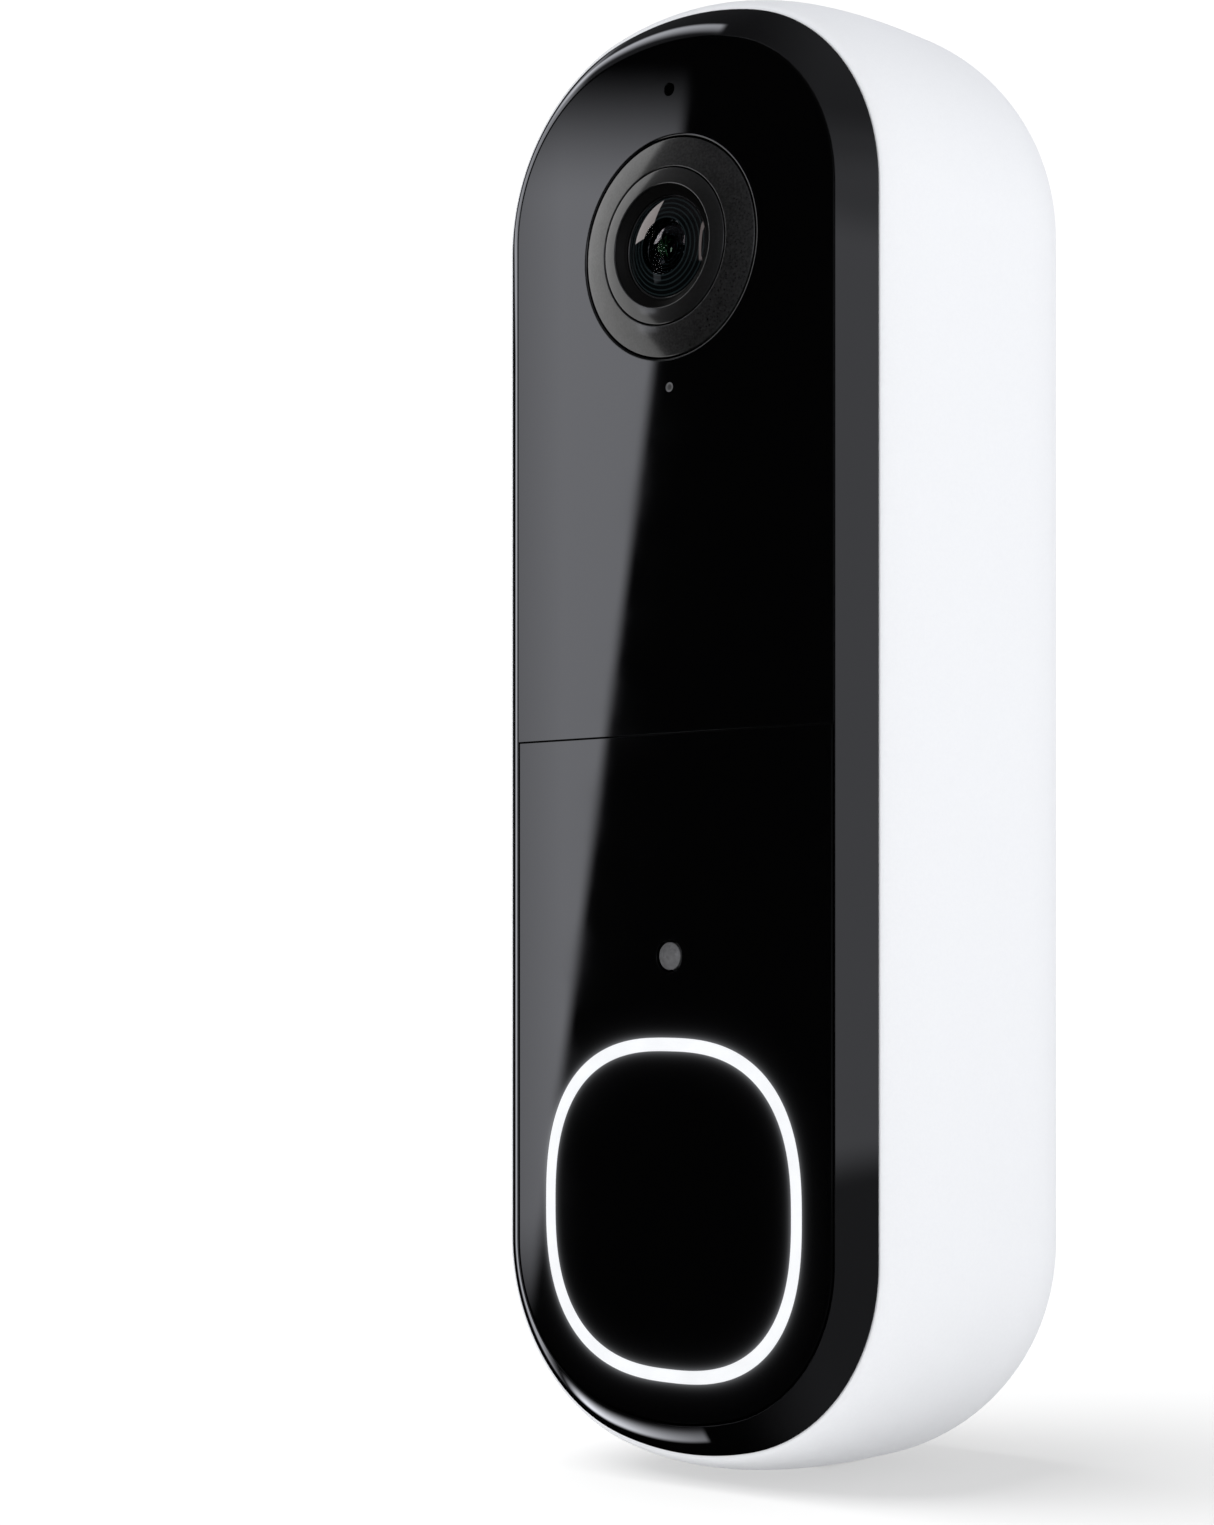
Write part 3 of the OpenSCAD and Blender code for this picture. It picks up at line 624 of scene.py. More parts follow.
def core_glass():
    """The small elements deep in the lens: black, with coatings from green to pink to blue."""
    paint = Surface("core_glass", (0.002, 0.002, 0.003), 0.03, IOR=2.3)
    across, _ = paint.across_and_up()
    ramp = paint.add("ShaderNodeValToRGB", {0: paint.ramp(across, -1.2 * MM, 1.2 * MM, 0.0, 1.0)})
    green, pink = ramp.color_ramp.elements
    green.position, green.color = 0.42, (0.45, 1.0, 0.5, 1)
    pink.position, pink.color = 0.62, (1.0, 0.4, 0.6, 1)
    blue = ramp.color_ramp.elements.new(0.85)
    blue.color = (0.3, 0.85, 1.0, 1)
    paint.feed("Specular Tint", ramp.outputs[0])
    paint.vary("Roughness", 0.02, 0.05, 1 * MM)
    return paint.mat


GLOSS = gloss_black("gloss_black").mat
PANEL = panel_black()
HOOD = trim_paint("hood_black", 0.0022, 0.5)
BAFFLE = simple("baffle_black", (0.0012, 0.0011, 0.001), (0.0022, 0.002, 0.0018), 0.5, 0.5 * MM,
                Specular_IOR_Level=0.12)
ANNULUS = simple("annulus_black", (0.002, 0.003, 0.0035), (0.004, 0.006, 0.007), 0.16, 0.6 * MM, 0.002 * MM)
CLEAR = clear_glass()
CORE = core_glass()
DOT = simple("dot_grey", (0.025, 0.025, 0.025), (0.05, 0.05, 0.05), 0.35, 0.15 * MM)

# Blender adds a number to a name that the CAD's own material has already, so the name is cut at its dot.
SLOT_MATERIALS = {mat.name.partition(".")[0]: mat for mat in (
    GLOSS,
    HOOD,
    white_shell(),
    ring_light(),
    circuit_board(),
    trim_paint("trim_black", 0.0045, 0.95),
    simple("plate_grey", (0.6, 0.61, 0.63), (0.66, 0.67, 0.69), 0.5, 0.6 * MM, 0.012 * MM),
    simple("steel", (0.56, 0.56, 0.57), (0.66, 0.66, 0.67), 0.3, 1 * MM, Metallic=1.0),
    simple("brass", (0.72, 0.53, 0.25), (0.8, 0.62, 0.33), 0.3, 1 * MM, Metallic=1.0),
    simple("chip_black", (0.02, 0.02, 0.022), (0.035, 0.035, 0.04), 0.5, 0.5 * MM),
    simple("frame_grey", (0.08, 0.08, 0.085), (0.11, 0.11, 0.115), 0.5, 0.8 * MM),
    simple("lamp_red", (0.06, 0.008, 0.01), (0.09, 0.012, 0.014), 0.1, 0.8 * MM),
    simple("lamp_white", (0.85, 0.8, 0.5), (0.92, 0.88, 0.62), 0.3, 0.4 * MM),
    simple("seal_rubber", (0.03, 0.03, 0.032), (0.045, 0.045, 0.048), 0.75, 0.5 * MM),
    simple("cover_rubber", (0.14, 0.14, 0.15), (0.18, 0.18, 0.19), 0.7, 0.5 * MM, 0.012 * MM),
    simple("battery_wrap", (0.1, 0.17, 0.3), (0.13, 0.21, 0.36), 0.3, 2 * MM),
    simple("foam", (0.1, 0.1, 0.1), (0.2, 0.2, 0.2), 0.9, 0.3 * MM, 0.05 * MM),
    simple("stem_ivory", (0.75, 0.72, 0.62), (0.8, 0.77, 0.68), 0.4, 0.5 * MM),
    simple("button_orange", (0.82, 0.29, 0.04), (0.88, 0.35, 0.07), 0.4, 0.5 * MM),
    simple("flex_amber", (0.5, 0.22, 0.03), (0.6, 0.28, 0.05), 0.3, 0.6 * MM),
    simple("motion_grey", (0.06, 0.06, 0.062), (0.15, 0.15, 0.155), 0.3, 0.35 * MM),
)}
SLOT_MATERIALS["lens_glass"] = glass_edge("dome_edge", (1.0, 0.84, 0.82), 0.42 * MM, -1.6 * MM)
SLOT_MATERIALS["optic_glass"] = glass_edge("inner_edge", (0.95, 0.8, 0.86), 0.3 * MM, 0.2 * MM)


def dress_cad_nodes():
    """Every CAD node gets the material of its slot; those that stay in view keep it."""
    for node, slot in SLOT_OF.items():
        mesh = frame["nodes"][node].data
        mesh.materials.clear()
        mesh.materials.append(SLOT_MATERIALS[slot])


# ---------------------------------------------------------------- the body
def shell_cutters():
    """What is cut out of the rear shell: sound slots, latch openings, port mouth, button hole."""
    below = -HALF_H - 1 * MM
    cutters = []
    slot_half, slot_len, pitch = 0.6 * MM, 3.5 * MM, 2.2 * MM
    slot_top, pin_top = -61.5 * MM, -60.5 * MM
    for i in range(-2, 3):
        slot = rectangle(i * pitch - slot_half, i * pitch + slot_half, SOUND_OUT - slot_len,
                         SOUND_OUT + slot_len, slot_half * 0.98)
        cutters.append(prism("slot", slot, "z", below, slot_top))
    pin_r = 0.9 * MM
    cutters.append(prism("pin_hole", circle(0, LATCH_OUT, pin_r, 40), "z", below, pin_top))
    port_z, button_z = middle("charge_port").z, middle("setup_button").z
    half_w, half_h, button_r = 4.6 * MM, 1.75 * MM, 2.05 * MM
    openings = {
        "tongue_slot": rectangle(-3.3 * MM, 3.3 * MM, -57.6 * MM, -51.1 * MM, 0.4 * MM),
        "port_mouth": rectangle(-half_w, half_w, port_z - half_h, port_z + half_h, 1.4 * MM),
        "button_hole": circle(0, button_z, button_r, 48),
    }
    for name, points in openings.items():
        cutters.append(prism(name, points, "out", RECESS - 1 * MM, FLOOR + 1 * MM))
    return cutters


def hook():
    """The hook at the top of the recess, open below so that it drops over the plate's bar."""
    bar = middle("hook_bar")
    bar_out, groove, half = -bar.y, 0.95 * MM, 5.2 * MM
    low, high, back = 53.4 * MM, 57.6 * MM, 0.25 * MM
    seat = [(bar.z + groove * math.sin(a), bar_out + groove * math.cos(a))
            for a in (math.pi * k / 12 for k in range(13))]
    profile = [(low, bar_out + groove), *seat, (low, bar_out - groove), (low, back), (high, back),
               (high, RECESS + 0.05 * MM), (low, RECESS + 0.05 * MM)]
    return prism("hook", profile, "x", -half, half, 0.12 * MM)


def cover_ears():
    """The two ears that hold the port cover's pin."""
    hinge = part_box("port_cover")[1].z - COVER_BARREL_R
    foot, tip = 1 * MM, 0.4 * MM
    lower_half = [(-foot, RECESS + 0.05 * MM), (-foot, 2.3 * MM), (-tip, 1.5 * MM)]
    upper_half = [(-z, out) for z, out in reversed(lower_half)]
    points = [(hinge + z, out) for z, out in lower_half + upper_half]
    inner, outer = COVER_HALF + 0.15 * MM, 6.35 * MM
    return [prism("ear", points, "x", side * inner, side * outer, 0.08 * MM) for side in (-1, 1)]


def rear_shell():
    """The white shell: swelling sides, rounded back edge, recess for the plate, openings."""
    steps = 24
    back_out = WALL_GAP + BACK_ROUND_D
    back_r = CORNER_R - BACK_ROUND_W
    swell_out = EDGE - SWELL_D
    lip = 0.3 * MM
    inner_w = 6.4 * MM
    front = 0.12 * MM
    rim_end, cavity_front = 29 * MM, 27 * MM
    levels = [(RECESS_R, RECESS), (RECESS_R, WALL_GAP + lip), (RECESS_R + lip * 0.3, WALL_GAP + lip * 0.3),
              (RECESS_R + lip, WALL_GAP)]
    levels += quarter_ellipse(back_r, back_out, BACK_ROUND_W, BACK_ROUND_D, -90, 0, steps)
    levels += quarter_ellipse(FRAME_R, swell_out, FRAME_IN, SWELL_D, 0, 84, steps)
    levels += [(FRAME_R + front * 0.8, EDGE - front * 0.25), (FRAME_R, EDGE)]
    levels += [(RIM_R, EDGE), (RIM_R, rim_end), (CAVITY_R, cavity_front)]
    levels += quarter_ellipse(CAVITY_R - inner_w, back_out, inner_w, back_out - FLOOR, 0, -90, 10)
    shell = cut_away(loft("rear_shell_smooth", levels, closed=False), shell_cutters())
    stand_for(joined(shell, [hook(), *cover_ears()]), "rear_shell")


def front_bezel():
    """The gloss black rim with a gently crowned chamfer."""
    crown = 0.11 * MM
    edge = 0.14 * MM
    steps = 14
    start = Vector((FRAME_R - edge * 0.25, EDGE + edge))
    end = Vector((FACE_R + edge, FACE - edge * 0.2))
    across = (end - start).normalized()
    normal = Vector((across.y, -across.x))
    chamfer = []
    for i in range(steps + 1):
        t = i / steps
        chamfer.append(tuple(start.lerp(end, t) + normal * crown * 4 * t * (1 - t)))
    turns = [math.pi / 2 * k / 5 for k in range(6)]
    inner = [(FACE_R + edge * 0.7 * (1 - math.sin(a)), FACE - edge * (1 - math.cos(a))) for a in turns]
    ledge_r, ledge, tongue = FACE_R - 2 * MM, 31.6 * MM, 29.6 * MM
    tongue_r = RIM_R - 0.1 * MM
    levels = [(tongue_r, EDGE), (FRAME_R - edge, EDGE), (FRAME_R - edge * 0.4, EDGE + edge * 0.4)]
    levels += chamfer + inner
    levels += [(FACE_R, ledge), (ledge_r, ledge), (ledge_r, tongue), (tongue_r, tongue)]
    stand_for(loft("front_bezel_smooth", levels, closed=True, sharp=50), "front_bezel")


def upper_panel():
    """The fixed panel, with the rim of its lens well, the microphone's mesh and the light sensor's dot."""
    mic_z = middle("microphone_gasket").z
    light_z = middle("light_pipe").z
    mic_r, light_r = 0.6 * MM, 0.44 * MM
    r = FACE_R - 0.05 * MM
    well = TRIM_R + 0.15 * MM
    rim = 0.2 * MM
    loops = [
        lambda d: half_outline(r - d, True, SEAM_HALF + d),
        lambda d: circle(0, LENS_Z, well + rim + 0.5 * d, 160),
        lambda d: circle(0, mic_z, mic_r + d, 40),
        lambda d: circle(0, light_z, light_r + d, 40),
    ]
    stand_for(plate("upper_panel_smooth", loops, PANEL_BACK, FACE, 0.02 * MM), "upper_panel")

    rim_profile = rounded(
        [(well, PANEL_BACK), (well, FACE), (well + rim, FACE), (well + rim, PANEL_BACK)],
        [0, 0.15 * MM, 0.01 * MM, 0])
    dress(lathe("lens_well_rim", rim_profile, LENS_Z), "upper_panel", GLOSS)

    mesh_r, mesh_out = mic_r - 0.02 * MM, FACE - 1.3 * MM
    mesh_back = mesh_out - 0.2 * MM
    mesh_profile = [(0, mesh_out), (mesh_r, mesh_out), (mesh_r, mesh_back), (0, mesh_back)]
    dress(lathe("microphone_mesh", mesh_profile, mic_z, 40), "microphone_gasket", BAFFLE)

    # A matt black strip inside the seam between the panels keeps the gap dark: a dark sheet standing in for
    # the shade in the gap, painted shade.
    reach = SIDE_X + FACE_R - 0.4 * MM
    strip = rectangle(-reach, reach, -SEAM_HALF * 0.95, SEAM_HALF * 1.05)
    dress(prism("seam_seal", strip, "out", FACE - 1.5 * MM, FACE - 0.6 * MM), "upper_panel", BAFFLE)

    dot_r, dot_out, dot_back = 0.36 * MM, FACE - 0.06 * MM, FACE - 1.7 * MM
    profile = [(0, dot_out + 0.05 * MM), (dot_r * 0.6, dot_out + 0.035 * MM), (dot_r, dot_out - 0.04 * MM),
               (dot_r, dot_back), (0, dot_back)]
    dress(lathe("light_dot", profile, light_z, 48), "light_pipe", DOT)


def button_panel():
    """The pressed panel, with the ring's slot round an island and the motion window's hole."""
    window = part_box("motion_window")
    motion_z = middle("motion_window").z
    motion_r = window[1].x + 0.28 * MM
    r = FACE_R - PANEL_GAP - 0.08 * MM
    clear = RING_STROKE / 2 + 0.01 * MM
    loops = [
        lambda d: half_outline(r - d, False, SEAM_HALF + d),
        lambda d: ring_outline(clear + d),
        lambda d: circle(0, motion_z, motion_r + d, 48),
    ]
    island = [lambda d: ring_outline(-clear - d)]
    low, edge = FACE - 1.6 * MM, 0.02 * MM
    panel = plate("button_panel_smooth", loops, low, FACE, edge, extra=[(island, low, FACE, edge)])
    stand_for(panel, "button_panel", PANEL)


def light_ring():
    half = RING_STROKE / 2
    loops = [lambda d: ring_outline(half - d), lambda d: ring_outline(-half + d)]
    back = 31 * MM
    ring = plate("light_ring_smooth", loops, back, FACE - 0.02 * MM, 0.05 * MM)
    stand_for(ring, "light_ring")


def motion_window():
    """A small grey dome with flat facets, each a lens of the motion sensor."""
    low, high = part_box("motion_window")
    centre_z, r = middle("motion_window").z, high.x
    top = -low.y
    rise, rim_out, back = 0.45 * MM, top - 0.5 * MM, top - 1.7 * MM
    rows, sides = 3, 26
    profile = [(0, top)]
    for i in range(1, rows + 1):
        at = r * i / rows
        profile.append((at, rim_out + rise * (1 - (at / r) ** 2)))
    profile += [(r, back), (0, back)]
    window = lathe("motion_window_faceted", profile, centre_z, sides, sharp=3)
    stand_for(window, "motion_window")


# ---------------------------------------------------------------- the camera
def trim_and_hood():
    """The speckled trim ring, the hood standing up out of it, and the matt cone inside the hood."""
    edge = 0.1 * MM
    bore = HOOD_R + 0.06 * MM
    trim_out, trim_back = FACE - 0.02 * MM, FACE - 1.7 * MM
    trim = rounded(
        [(bore, HOOD_SEAM), (bore, trim_back), (TRIM_R, trim_back), (TRIM_R, trim_out)],
        [edge, 0, 0, edge * 1.4])
    stand_for(lathe("lens_trim_smooth", trim, LENS_Z), "lens_trim")
    outer = HOOD_R - 0.05 * MM
    lip = 0.1 * MM
    hood = rounded(
        [(outer, HOOD_SEAM), (MOUTH_R, HOOD_OUT), (MOUTH_R - lip, HOOD_OUT - 0.5 * MM),
         (MOUTH_R, PANEL_BACK), (outer, PANEL_BACK)],
        [edge, edge, 0, 0, 0])
    stand_for(lathe("lens_hood_smooth", hood, LENS_Z), "lens_hood")
    cone_r, shelf_r, shelf_out = MOUTH_R - lip * 0.6, 4.9 * MM, FACE + 0.55 * MM
    cone = rounded(
        [(cone_r, HOOD_OUT - 0.2 * MM), (shelf_r, shelf_out), (BORE_R, shelf_out - 0.1 * MM),
         (BORE_R, PANEL_BACK), (cone_r, PANEL_BACK)],
        [0, 0.05 * MM, 0.04 * MM, 0, 0])
    dress(lathe("lens_hood_cone", cone, LENS_Z), "lens_hood", BAFFLE)


def cap_arc(r, top, sphere_r, steps):
    """Points from the middle of a dome to its edge, at radius r."""
    reach = math.asin(r / sphere_r)
    return [(sphere_r * math.sin(reach * i / steps), top - sphere_r * (1 - math.cos(reach * i / steps)))
            for i in range(steps + 1)]


def glass_shell(name, r, front, back, clear_r, node):
    """A domed glass, clear out to clear_r; front and back are (top, sphere radius)."""
    steps = 18
    shell = lathe(name, cap_arc(r, *front, steps) + cap_arc(r, *back, steps)[::-1], LENS_Z, 128)
    dress(shell, node)
    shell.data.materials.append(CLEAR)
    for face in shell.data.polygons:
        if math.hypot(face.center.x, face.center.z - LENS_Z) < clear_r:
            face.material_index = 1
    return shell


def lens_glasses():
    """The front dome, the second element in its ringed mount, and the coated core behind it."""
    dome_sphere = (DOME_R ** 2 + DOME_RISE ** 2) / (2 * DOME_RISE)
    dome = glass_shell("lens_dome_glass", DOME_R, (DOME_TOP, dome_sphere), (DOME_TOP - 0.35 * MM, 13.4 * MM),
                       2.6 * MM, "lens_dome")
    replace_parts(dome, "lens_dome")
    dome_edge = DOME_TOP - DOME_RISE
    seat = rounded([(BORE_R - 0.01 * MM, dome_edge + 0.12 * MM), (DOME_R, dome_edge + 0.02 * MM),
                    (DOME_R, dome_edge - 0.8 * MM), (BORE_R - 0.01 * MM, dome_edge - 0.8 * MM)],
                   [0.04 * MM, 0.04 * MM, 0, 0])
    dress(lathe("dome_seat", seat, LENS_Z), "lens_barrel", HOOD)

    inner_r, inner_out = 2.45 * MM, DOME_TOP - 0.9 * MM
    outer_r, outer_out = 4.35 * MM, DOME_TOP - 1.75 * MM
    rings = 6
    profile = []
    for i in range(rings):
        r0, r1 = (outer_r + (inner_r - outer_r) * t / rings for t in (i, i + 1))
        o0, o1 = (outer_out + (inner_out - outer_out) * t / rings for t in (i, i + 1))
        profile += [(r0, o0), (r0 - 0.06 * MM, o0 + 0.07 * MM), (r1 + 0.05 * MM, o1 - 0.02 * MM)]
    lip = [(inner_r, inner_out), (inner_r - 0.03 * MM, inner_out + 0.05 * MM),
           (inner_r - 0.1 * MM, inner_out + 0.05 * MM), (inner_r - 0.14 * MM, inner_out - 0.02 * MM)]
    profile += lip + [(inner_r - 0.14 * MM, PANEL_BACK), (outer_r, PANEL_BACK)]
    dress(lathe("lens_baffle", profile, LENS_Z, 128, sharp=20), "lens_barrel", ANNULUS)

    second_r, second_top = inner_r - 0.16 * MM, DOME_TOP - 0.5 * MM
    glass_shell("second_glass", second_r, (second_top, 6.5 * MM), (second_top - 0.2 * MM, 6 * MM),
                1.05 * MM, "lens_elements")

    core_r, core_top = 1.15 * MM, DOME_TOP - 1.4 * MM
    core = cap_arc(core_r, core_top, 1.5 * MM, 14)
    steps = 4
    for i in range(steps):
        r = core_r + (0.05 + 0.24 * i) * MM
        out = core[-1][1]
        core += [(r, out - 0.02 * MM), (r + 0.05 * MM, out + 0.07 * MM), (r + 0.17 * MM, out + 0.02 * MM)]
    edge = core[-1][0]
    core += [(edge, PANEL_BACK), (0, PANEL_BACK)]
    dress(lathe("lens_core", core, LENS_Z, 96, sharp=25), "lens_elements", CORE)


# ---------------------------------------------------------------- the back
def wall_plate():
    """The plate screwed to the wall, with its windows, screw recesses and rounded edges."""
    wires = rectangle(-9 * MM, 9 * MM, -31 * MM, -4 * MM, 1.2 * MM)
    port = rectangle(-6.5 * MM, 6.5 * MM, 4 * MM, 36.8 * MM, 1 * MM)
    hook_window = rectangle(-6 * MM, 6 * MM, 51.5 * MM, 57.9 * MM, 0.4 * MM)
    catch = rectangle(-5 * MM, 5 * MM, -57.6 * MM, -50 * MM, 0.4 * MM)
    hole_r, head_r, head_depth = 2.1 * MM, 4.2 * MM, 1.6 * MM

    def grown(points):
        """The window as a function of how far its edge has moved out."""
        centre = sum((Vector(p) for p in points), Vector((0, 0))) / len(points)
        half = Vector((max(p[0] for p in points), max(p[1] for p in points))) - centre
        return lambda d: [tuple(centre + Vector(((p[0] - centre.x) * (1 + d / half.x),
                                                 (p[1] - centre.y) * (1 + d / half.y)))) for p in points]

    loops = [lambda d: outline(PLATE_R - d), *(grown(p) for p in (wires, port, hook_window, catch))]
    screws = (-SCREW_SPACING / 2, SCREW_SPACING / 2)
    for z in screws:
        loops.append(lambda d, z=z: circle(0, z, hole_r + d, 40))
    body = plate("wall_plate_smooth", loops, 0, PLATE_T, 0.2 * MM, back_edge=0.2 * MM)
    heads = [prism("head", circle(0, z, head_r, 48), "out", PLATE_T - head_depth, PLATE_T + 1 * MM)
             for z in screws]
    stand_for(cut_away(body, heads), "wall_plate")


def hook_bar():
    low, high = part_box("hook_bar")
    r = (high.z - low.z) / 2
    chamfer = 0.2 * MM
    profile = [(0, low.x), (r - chamfer, low.x), (r, low.x + chamfer), (r, high.x - chamfer),
               (r - chamfer, high.x), (0, high.x)]
    bar = lathe("hook_bar_turned", profile, 0, 48)
    centre = middle("hook_bar")
    # the lathe turns about the out axis, which is laid along x
    bar.data.transform(Matrix.Translation(centre) @ Matrix.Rotation(math.pi / 2, 4, "Z"))
    stand_for(bar, "hook_bar")


def port_cover():
    """The rubber flap over the charging port, with a raised pad and a ribbed pull tab."""
    low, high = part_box("port_cover")
    hinge, hinge_out = high.z - COVER_BARREL_R, 2.5 * MM
    half, pad_half, tab_half = COVER_HALF, 3.6 * MM, 2 * MM
    flap_low, pad_low, pad_high = low.z + 1.2 * MM, low.z + 3.8 * MM, hinge - 2.2 * MM
    back, front = 2.1 * MM, -low.y
    flap = [lambda d: rectangle(-half + d, half - d, flap_low + d, hinge - 0.1 * MM, 0.8 * MM)]
    pad = [lambda d: rectangle(-pad_half + d, pad_half - d, pad_low + d, pad_high - d, 1 * MM)]
    tab = [lambda d: rectangle(-tab_half + d, tab_half - d, low.z + d, flap_low + 0.3 * MM, 0.5 * MM)]
    cover = plate("port_cover_moulded", flap, back, front, 0.15 * MM, 0.15 * MM,
                  extra=[(pad, back - 0.12 * MM, back + 0.3 * MM, 0.05 * MM, 0.08 * MM),
                         (tab, back, back + 0.7 * MM, 0.1 * MM, 0.1 * MM)])
    barrel = prism("barrel", circle(hinge, hinge_out, COVER_BARREL_R, 40), "x", -half, half, 0.1 * MM)
    pin = prism("pin", circle(hinge, hinge_out, 0.5 * MM, 24), "x", low.x, high.x, 0.08 * MM)
    ribs = []
    for i in range(3):
        z = low.z + (0.35 + 0.3 * i) * MM
        rib = rectangle(z - 0.07 * MM, z + 0.07 * MM, back - 0.1 * MM, back + 0.1 * MM)
        ribs.append(prism("rib", rib, "x", -1.5 * MM, 1.5 * MM, 0.03 * MM))
    stand_for(joined(cover, [barrel, pin, *ribs]), "port_cover")


def setup_button():
    low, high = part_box("setup_button")
    back, front = -high.y, -low.y
    r, dish = 2 * MM, back + 0.2 * MM
    flange = FLOOR + 0.05 * MM
    face = rounded([(0, dish), (1.3 * MM, dish), (1.45 * MM, back), (r, back),
                    (r, flange), (high.x, flange), (high.x, front), (0, front)],
                   [0, 0.1 * MM, 0.1 * MM, 0.2 * MM, 0, 0.1 * MM, 0.1 * MM, 0])
    stand_for(lathe("setup_button_moulded", face, middle("setup_button").z, 72), "setup_button")


def softened_copies():
    """The other CAD parts, with the small rounded edges of moulded, stamped and machined parts."""
    edge_widths_mm = {
        "release_latch": 0.15, "terminal_block": 0.2, "terminal_screws": 0.15, "chassis": 0.12,
        "battery": 0.5, "speaker": 0.3, "housing_screws": 0.15, "charge_port": 0.06, "charge_board": 0.05,
        "camera_board": 0.05, "main_board": 0.05, "ring_board": 0.05, "lens_holder": 0.2,
        "image_sensor": 0.08, "shield_can": 0.1, "motion_sensor": 0.2, "antenna": 0.05,
        "ring_lamps": 0.08, "switch_body": 0.2, "switch_stem": 0.2, "setup_switch": 0.1,
        "battery_pad": 0.1, "microphone": 0.1, "infrared_lamps": 0.1, "pivot_rods": 0.1,
        "ribbon_cable": 0.05, "speaker_gasket": 0.2, "microphone_gasket": 0.1,
    }
    for node, width in edge_widths_mm.items():
        bm = bmesh.new()
        bm.from_mesh(frame["nodes"][node].data)
        bmesh.ops.remove_doubles(bm, verts=bm.verts, dist=0.001 * MM)
        bmesh.ops.dissolve_limit(bm, angle_limit=math.radians(1), verts=bm.verts, edges=bm.edges)
        soften(bm, width * MM)
        stand_for(finish_mesh(node + "_soft", bm, 30, even=True), node)


# ---------------------------------------------------------------- the studio
def stage_floor():
    """A white floor, bright enough to run into the white background, with one soft shadow."""
    size = 3.0
    bm = bmesh.new()
    corners = ((-size, -size), (size, -size), (size, size), (-size, size))
    bm.faces.new([bm.verts.new((x, y, -HALF_H)) for x, y in corners])
    floor = finish_mesh("floor", bm)
    paint = Surface("floor_white", (0.25, 0.25, 0.25), 0.8, Specular_IOR_Level=0.0,
                    Emission_Color=(1, 1, 1, 1), Emission_Strength=0.47)
    paint.tint((0.25, 0.25, 0.25), (0.26, 0.26, 0.26), 30 * MM)
    floor.data.materials.append(paint.mat)
    floor.visible_glossy = False
    floor.visible_transmission = False


class Sky:
    """Soft light panels placed by bearing (degrees left of the front) and height (degrees up)."""

    def __init__(self, nodes):
        self.nodes = nodes
        direction = nodes.add("ShaderNodeTexCoord").outputs["Generated"]
        self.x, self.y, self.z = nodes.add("ShaderNodeSeparateXYZ", {0: direction}).outputs
        degrees = 180 / math.pi
        left = nodes.math("MULTIPLY", self.x, -1.0)
        front = nodes.math("MULTIPLY", self.y, -1.0)
        self.bearing = nodes.math("MULTIPLY", nodes.math("ARCTAN2", left, front), degrees)
        self.height = nodes.math("MULTIPLY", nodes.math("ARCSINE", self.z), degrees)

    def between(self, value, low, high, soft):
        """1 between low and high, with soft edges."""
        return self.nodes.math("MULTIPLY", self.nodes.step(value, low - soft, low + soft),
                               self.nodes.step(value, high + soft, high - soft))

    def panel(self, bearings, heights, level, soft, soft_height, slant=0.0):
        """A panel between two bearings and two heights; slant leans its upright edges."""
        n = self.nodes
        across = n.math("ADD", self.bearing, n.math("MULTIPLY", self.height, slant))
        return n.chain("MULTIPLY", self.between(across, *bearings, soft),
                       self.between(self.height, *heights, soft_height), level)

    def band(self, plane, back, least_z):
        """A strip of light where a x + b y + c z + back is under 0, fading as that falls further.

        It lies above the level least_z, or below it where that is negative.
        """
        n = self.nodes
        terms = [n.math("MULTIPLY", axis, share) for axis, share in zip((self.x, self.y, self.z), plane)]
        offset = n.chain("ADD", *terms, back)
        strip = n.math("MULTIPLY", n.step(offset, 0.25, -0.25), n.step(offset, -1.7, -0.3))
        soft = math.copysign(0.06, least_z)
        return n.math("MULTIPLY", strip, n.step(self.z, least_z - soft, least_z + soft))

    def ahead_of_chamfer(self):
        """1 in front of the plane that ends the left chamfer's light part way across it, 0 behind it."""
        n = self.nodes
        across = n.math("MULTIPLY", self.x, 0.36)
        along = n.math("MULTIPLY", self.y, 0.68)
        lean = n.ramp(self.z, 0.2, 0.26, 0.04, -0.06)
        return n.step(n.chain("ADD", across, along, lean), 0.03, -0.03)


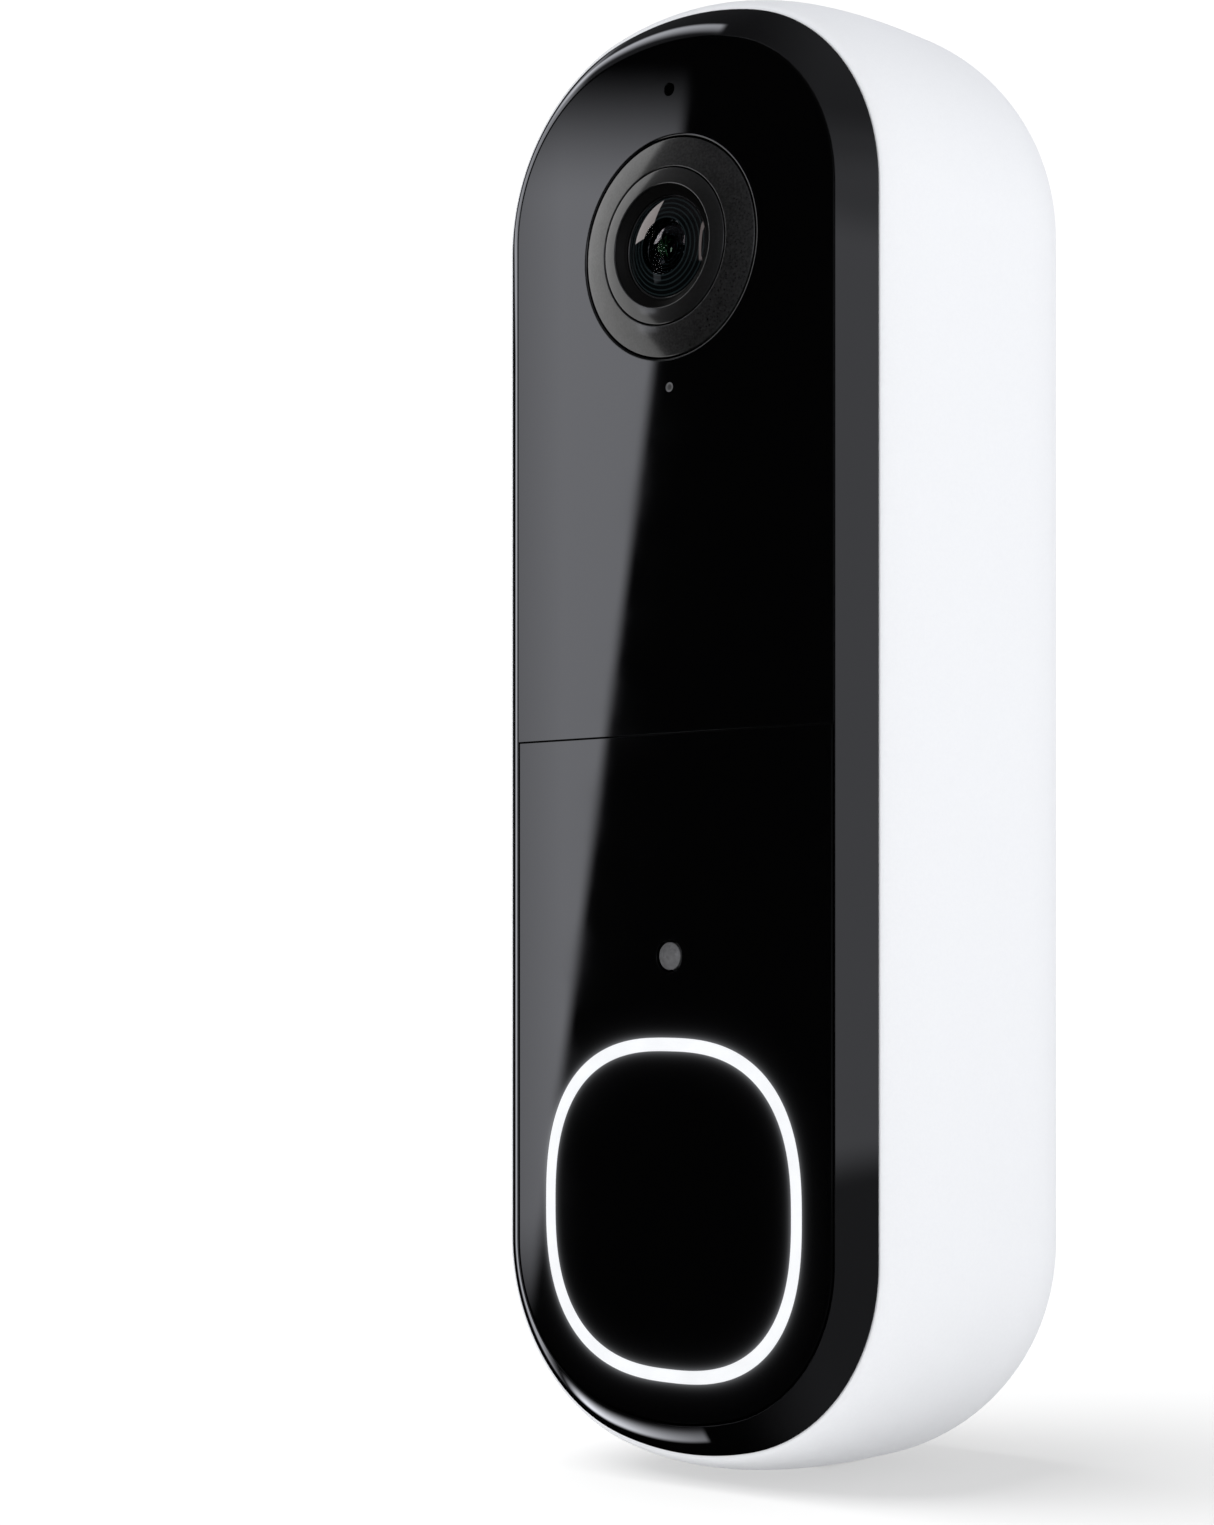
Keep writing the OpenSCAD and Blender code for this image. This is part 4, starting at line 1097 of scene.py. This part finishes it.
def reflected_light(nodes, sky):
    """What the gloss reflects: soft panels on black."""
    face_panel = sky.panel((41.82, 49), (-6.1, 15.5), 2.98, 0.14, 1.3, slant=0.13)
    face_fade = nodes.ramp(sky.bearing, 42.1, 43.0, 1.0, 0.74)
    right_panel = sky.panel((-78, -16), (-4.6, 60), 0.55, 3, 0.5, slant=-0.06)
    above = nodes.math("MULTIPLY", nodes.step(sky.x, -0.475, -0.5), nodes.ramp(sky.z, 0.5, 0.86, 1.0, 2.6))
    below = nodes.math("MULTIPLY", nodes.step(sky.x, -0.53, -0.55), nodes.ramp(sky.z, -0.85, -0.65, 1.8, 4.4))
    left_panel = sky.panel((101, 150), (-20, 33), 1.2, 3, 4)
    left_fade = nodes.ramp(sky.z, 0.19, 0.27, 1.0, 0.5)
    return nodes.chain(
        "ADD",
        # the right chamfer, and two panels for the views from behind
        sky.panel((-78, -16), (-4.6, 14.6), 0.41, 3, 0.5, slant=-0.06),
        sky.panel((-170, -105), (-20, 60), 0.8, 10, 10),
        sky.panel((135, 175), (-20, 60), 0.8, 10, 10),
        # the bright left part of the face
        nodes.math("MULTIPLY", face_panel, face_fade),
        # the right chamfer's fade towards the top, and a weak fill from the right and from above
        nodes.math("MULTIPLY", right_panel, nodes.step(sky.height, 47, 12)),
        nodes.math("MULTIPLY", nodes.step(sky.x, -0.45, 0.3), 0.24),
        nodes.math("MULTIPLY", nodes.step(sky.z, 0.45, 0.55), 0.07),
        # the highlights on the top and the bottom of the frame
        nodes.math("MULTIPLY", above, sky.band((11.34, 12.4, 6.0), 0.3, 0.45)),
        nodes.math("MULTIPLY", below, sky.band((5.63, 8.4, -4.24), 0.0, -0.45)),
        # the thin line of light down the left chamfer
        nodes.chain("MULTIPLY", left_panel, left_fade, sky.ahead_of_chamfer()),
    )


def studio_world():
    """A white room for diffuse light, soft panels for what the gloss reflects, white for the camera."""
    world = bpy.data.worlds.new("studio")
    bpy.context.scene.world = world
    world.use_nodes = True
    world.node_tree.nodes.clear()
    nodes = Nodes(world.node_tree)
    sky = Sky(nodes)

    def background(color, strength):
        return nodes.add("ShaderNodeBackground", {"Color": (*color, 1), "Strength": strength}).outputs[0]

    gloss = background((0.93, 0.945, 1.02), reflected_light(nodes, sky))
    level = nodes.ramp(nodes.math("ABSOLUTE", sky.x), 0.0, 1.0, 0.84, 1.36)
    dimmer_top = nodes.math("MULTIPLY", nodes.step(sky.z, 0.3, 1.0), -0.36)
    room = background((0.98, 0.985, 1.0), nodes.math("MULTIPLY", level, nodes.math("ADD", dimmer_top, 1.0)))
    white = background((1, 1, 1), 1.05)
    path = nodes.add("ShaderNodeLightPath").outputs
    shiny = nodes.math("MAXIMUM", path["Is Glossy Ray"], path["Is Transmission Ray"])
    lit = nodes.add("ShaderNodeMixShader", {0: shiny, 1: room, 2: gloss}).outputs[0]
    seen = nodes.add("ShaderNodeMixShader", {0: path["Is Camera Ray"], 1: lit, 2: white}).outputs[0]
    nodes.add("ShaderNodeOutputWorld", {"Surface": seen})


def away_from(bearing, height):
    """The direction at a bearing (degrees left of the front) and a height (degrees up)."""
    turn, lift = math.radians(bearing), math.radians(height)
    return Vector((-math.sin(turn) * math.cos(lift), -math.cos(turn) * math.cos(lift), math.sin(lift)))


def light_only(lamp, names):
    """Makes a lamp light only the named pieces."""
    pieces = bpy.data.collections.new("lit_by_" + lamp.name)
    for name in names:
        pieces.objects.link(bpy.data.objects[name])
    lamp.light_linking.receiver_collection = pieces


def soft_box(name, target, bearing, height, spread, level, roll, lit):
    """A rectangular lamp seen from target at a bearing and height, lighting only the named pieces.

    spread is how wide and how tall it looks, in degrees; level is its brightness.
    """
    distance = 0.6
    lamp = bpy.data.lights.new(name, "AREA")
    lamp.shape = "RECTANGLE"
    lamp.size, lamp.size_y = (2 * distance * math.tan(math.radians(angle / 2)) for angle in spread)
    lamp.energy = math.pi * lamp.size * lamp.size_y * level
    obj = bpy.data.objects.new(name, lamp)
    away = away_from(bearing, height)
    obj.location = target + away * distance
    aim = away.to_track_quat("Z", "Y").to_matrix() @ Matrix.Rotation(math.radians(roll), 3, "Z")
    obj.rotation_euler = aim.to_euler()
    bpy.context.scene.collection.objects.link(obj)
    light_only(obj, lit)


def lamps():
    """Soft boxes for the lens and its mount, and a soft sun that only lights the floor."""
    lens = stand(0, LENS_Z, FACE)
    glasses = ("lens_dome_glass", "second_glass", "lens_core")
    mount = ("lens_trim_smooth", "lens_hood_smooth", "lens_well_rim")
    soft_box("trim_lamp", lens, 78, 0, (57, 105), 1.8, 14, mount)
    soft_box("lens_lamp_left", lens, 68, 30, (22, 24), 4.0, 13, glasses)
    soft_box("lens_lamp_right", lens, 5.5, 14, (2.0, 30), 2.6, 0, glasses)
    sun = bpy.data.lights.new("floor_sun", "SUN")
    sun.energy = 5.4
    sun.angle = math.radians(55)
    obj = bpy.data.objects.new("floor_sun", sun)
    obj.rotation_euler = away_from(50, 62).to_track_quat("Z", "Y").to_euler()
    bpy.context.scene.collection.objects.link(obj)
    light_only(obj, ("floor",))


def camera():
    """The camera stands level, in front and to the right."""
    bearing = math.radians(40.04)
    distance = 268.2 * MM
    eye_height = 47.8 * MM
    cam = bpy.data.cameras.new("camera")
    cam.lens = 70.1
    cam.sensor_width = 36
    cam.shift_x = -0.0407
    cam.shift_y = 0.1277
    cam.clip_start = 0.01
    cam.clip_end = 10
    obj = bpy.data.objects.new("camera", cam)
    obj.location = (distance * math.sin(bearing), -FACE - distance * math.cos(bearing), -HALF_H + eye_height)
    obj.rotation_euler = (math.pi / 2, 0, bearing)
    bpy.context.scene.collection.objects.link(obj)
    bpy.context.scene.camera = obj


def colour_management():
    view = bpy.context.scene.view_settings
    view.view_transform = "Standard"
    view.look = "None"


dress_cad_nodes()
rear_shell()
front_bezel()
upper_panel()
button_panel()
light_ring()
motion_window()
trim_and_hood()
lens_glasses()
wall_plate()
hook_bar()
port_cover()
setup_button()
softened_copies()
stage_floor()
studio_world()
lamps()
camera()
colour_management()
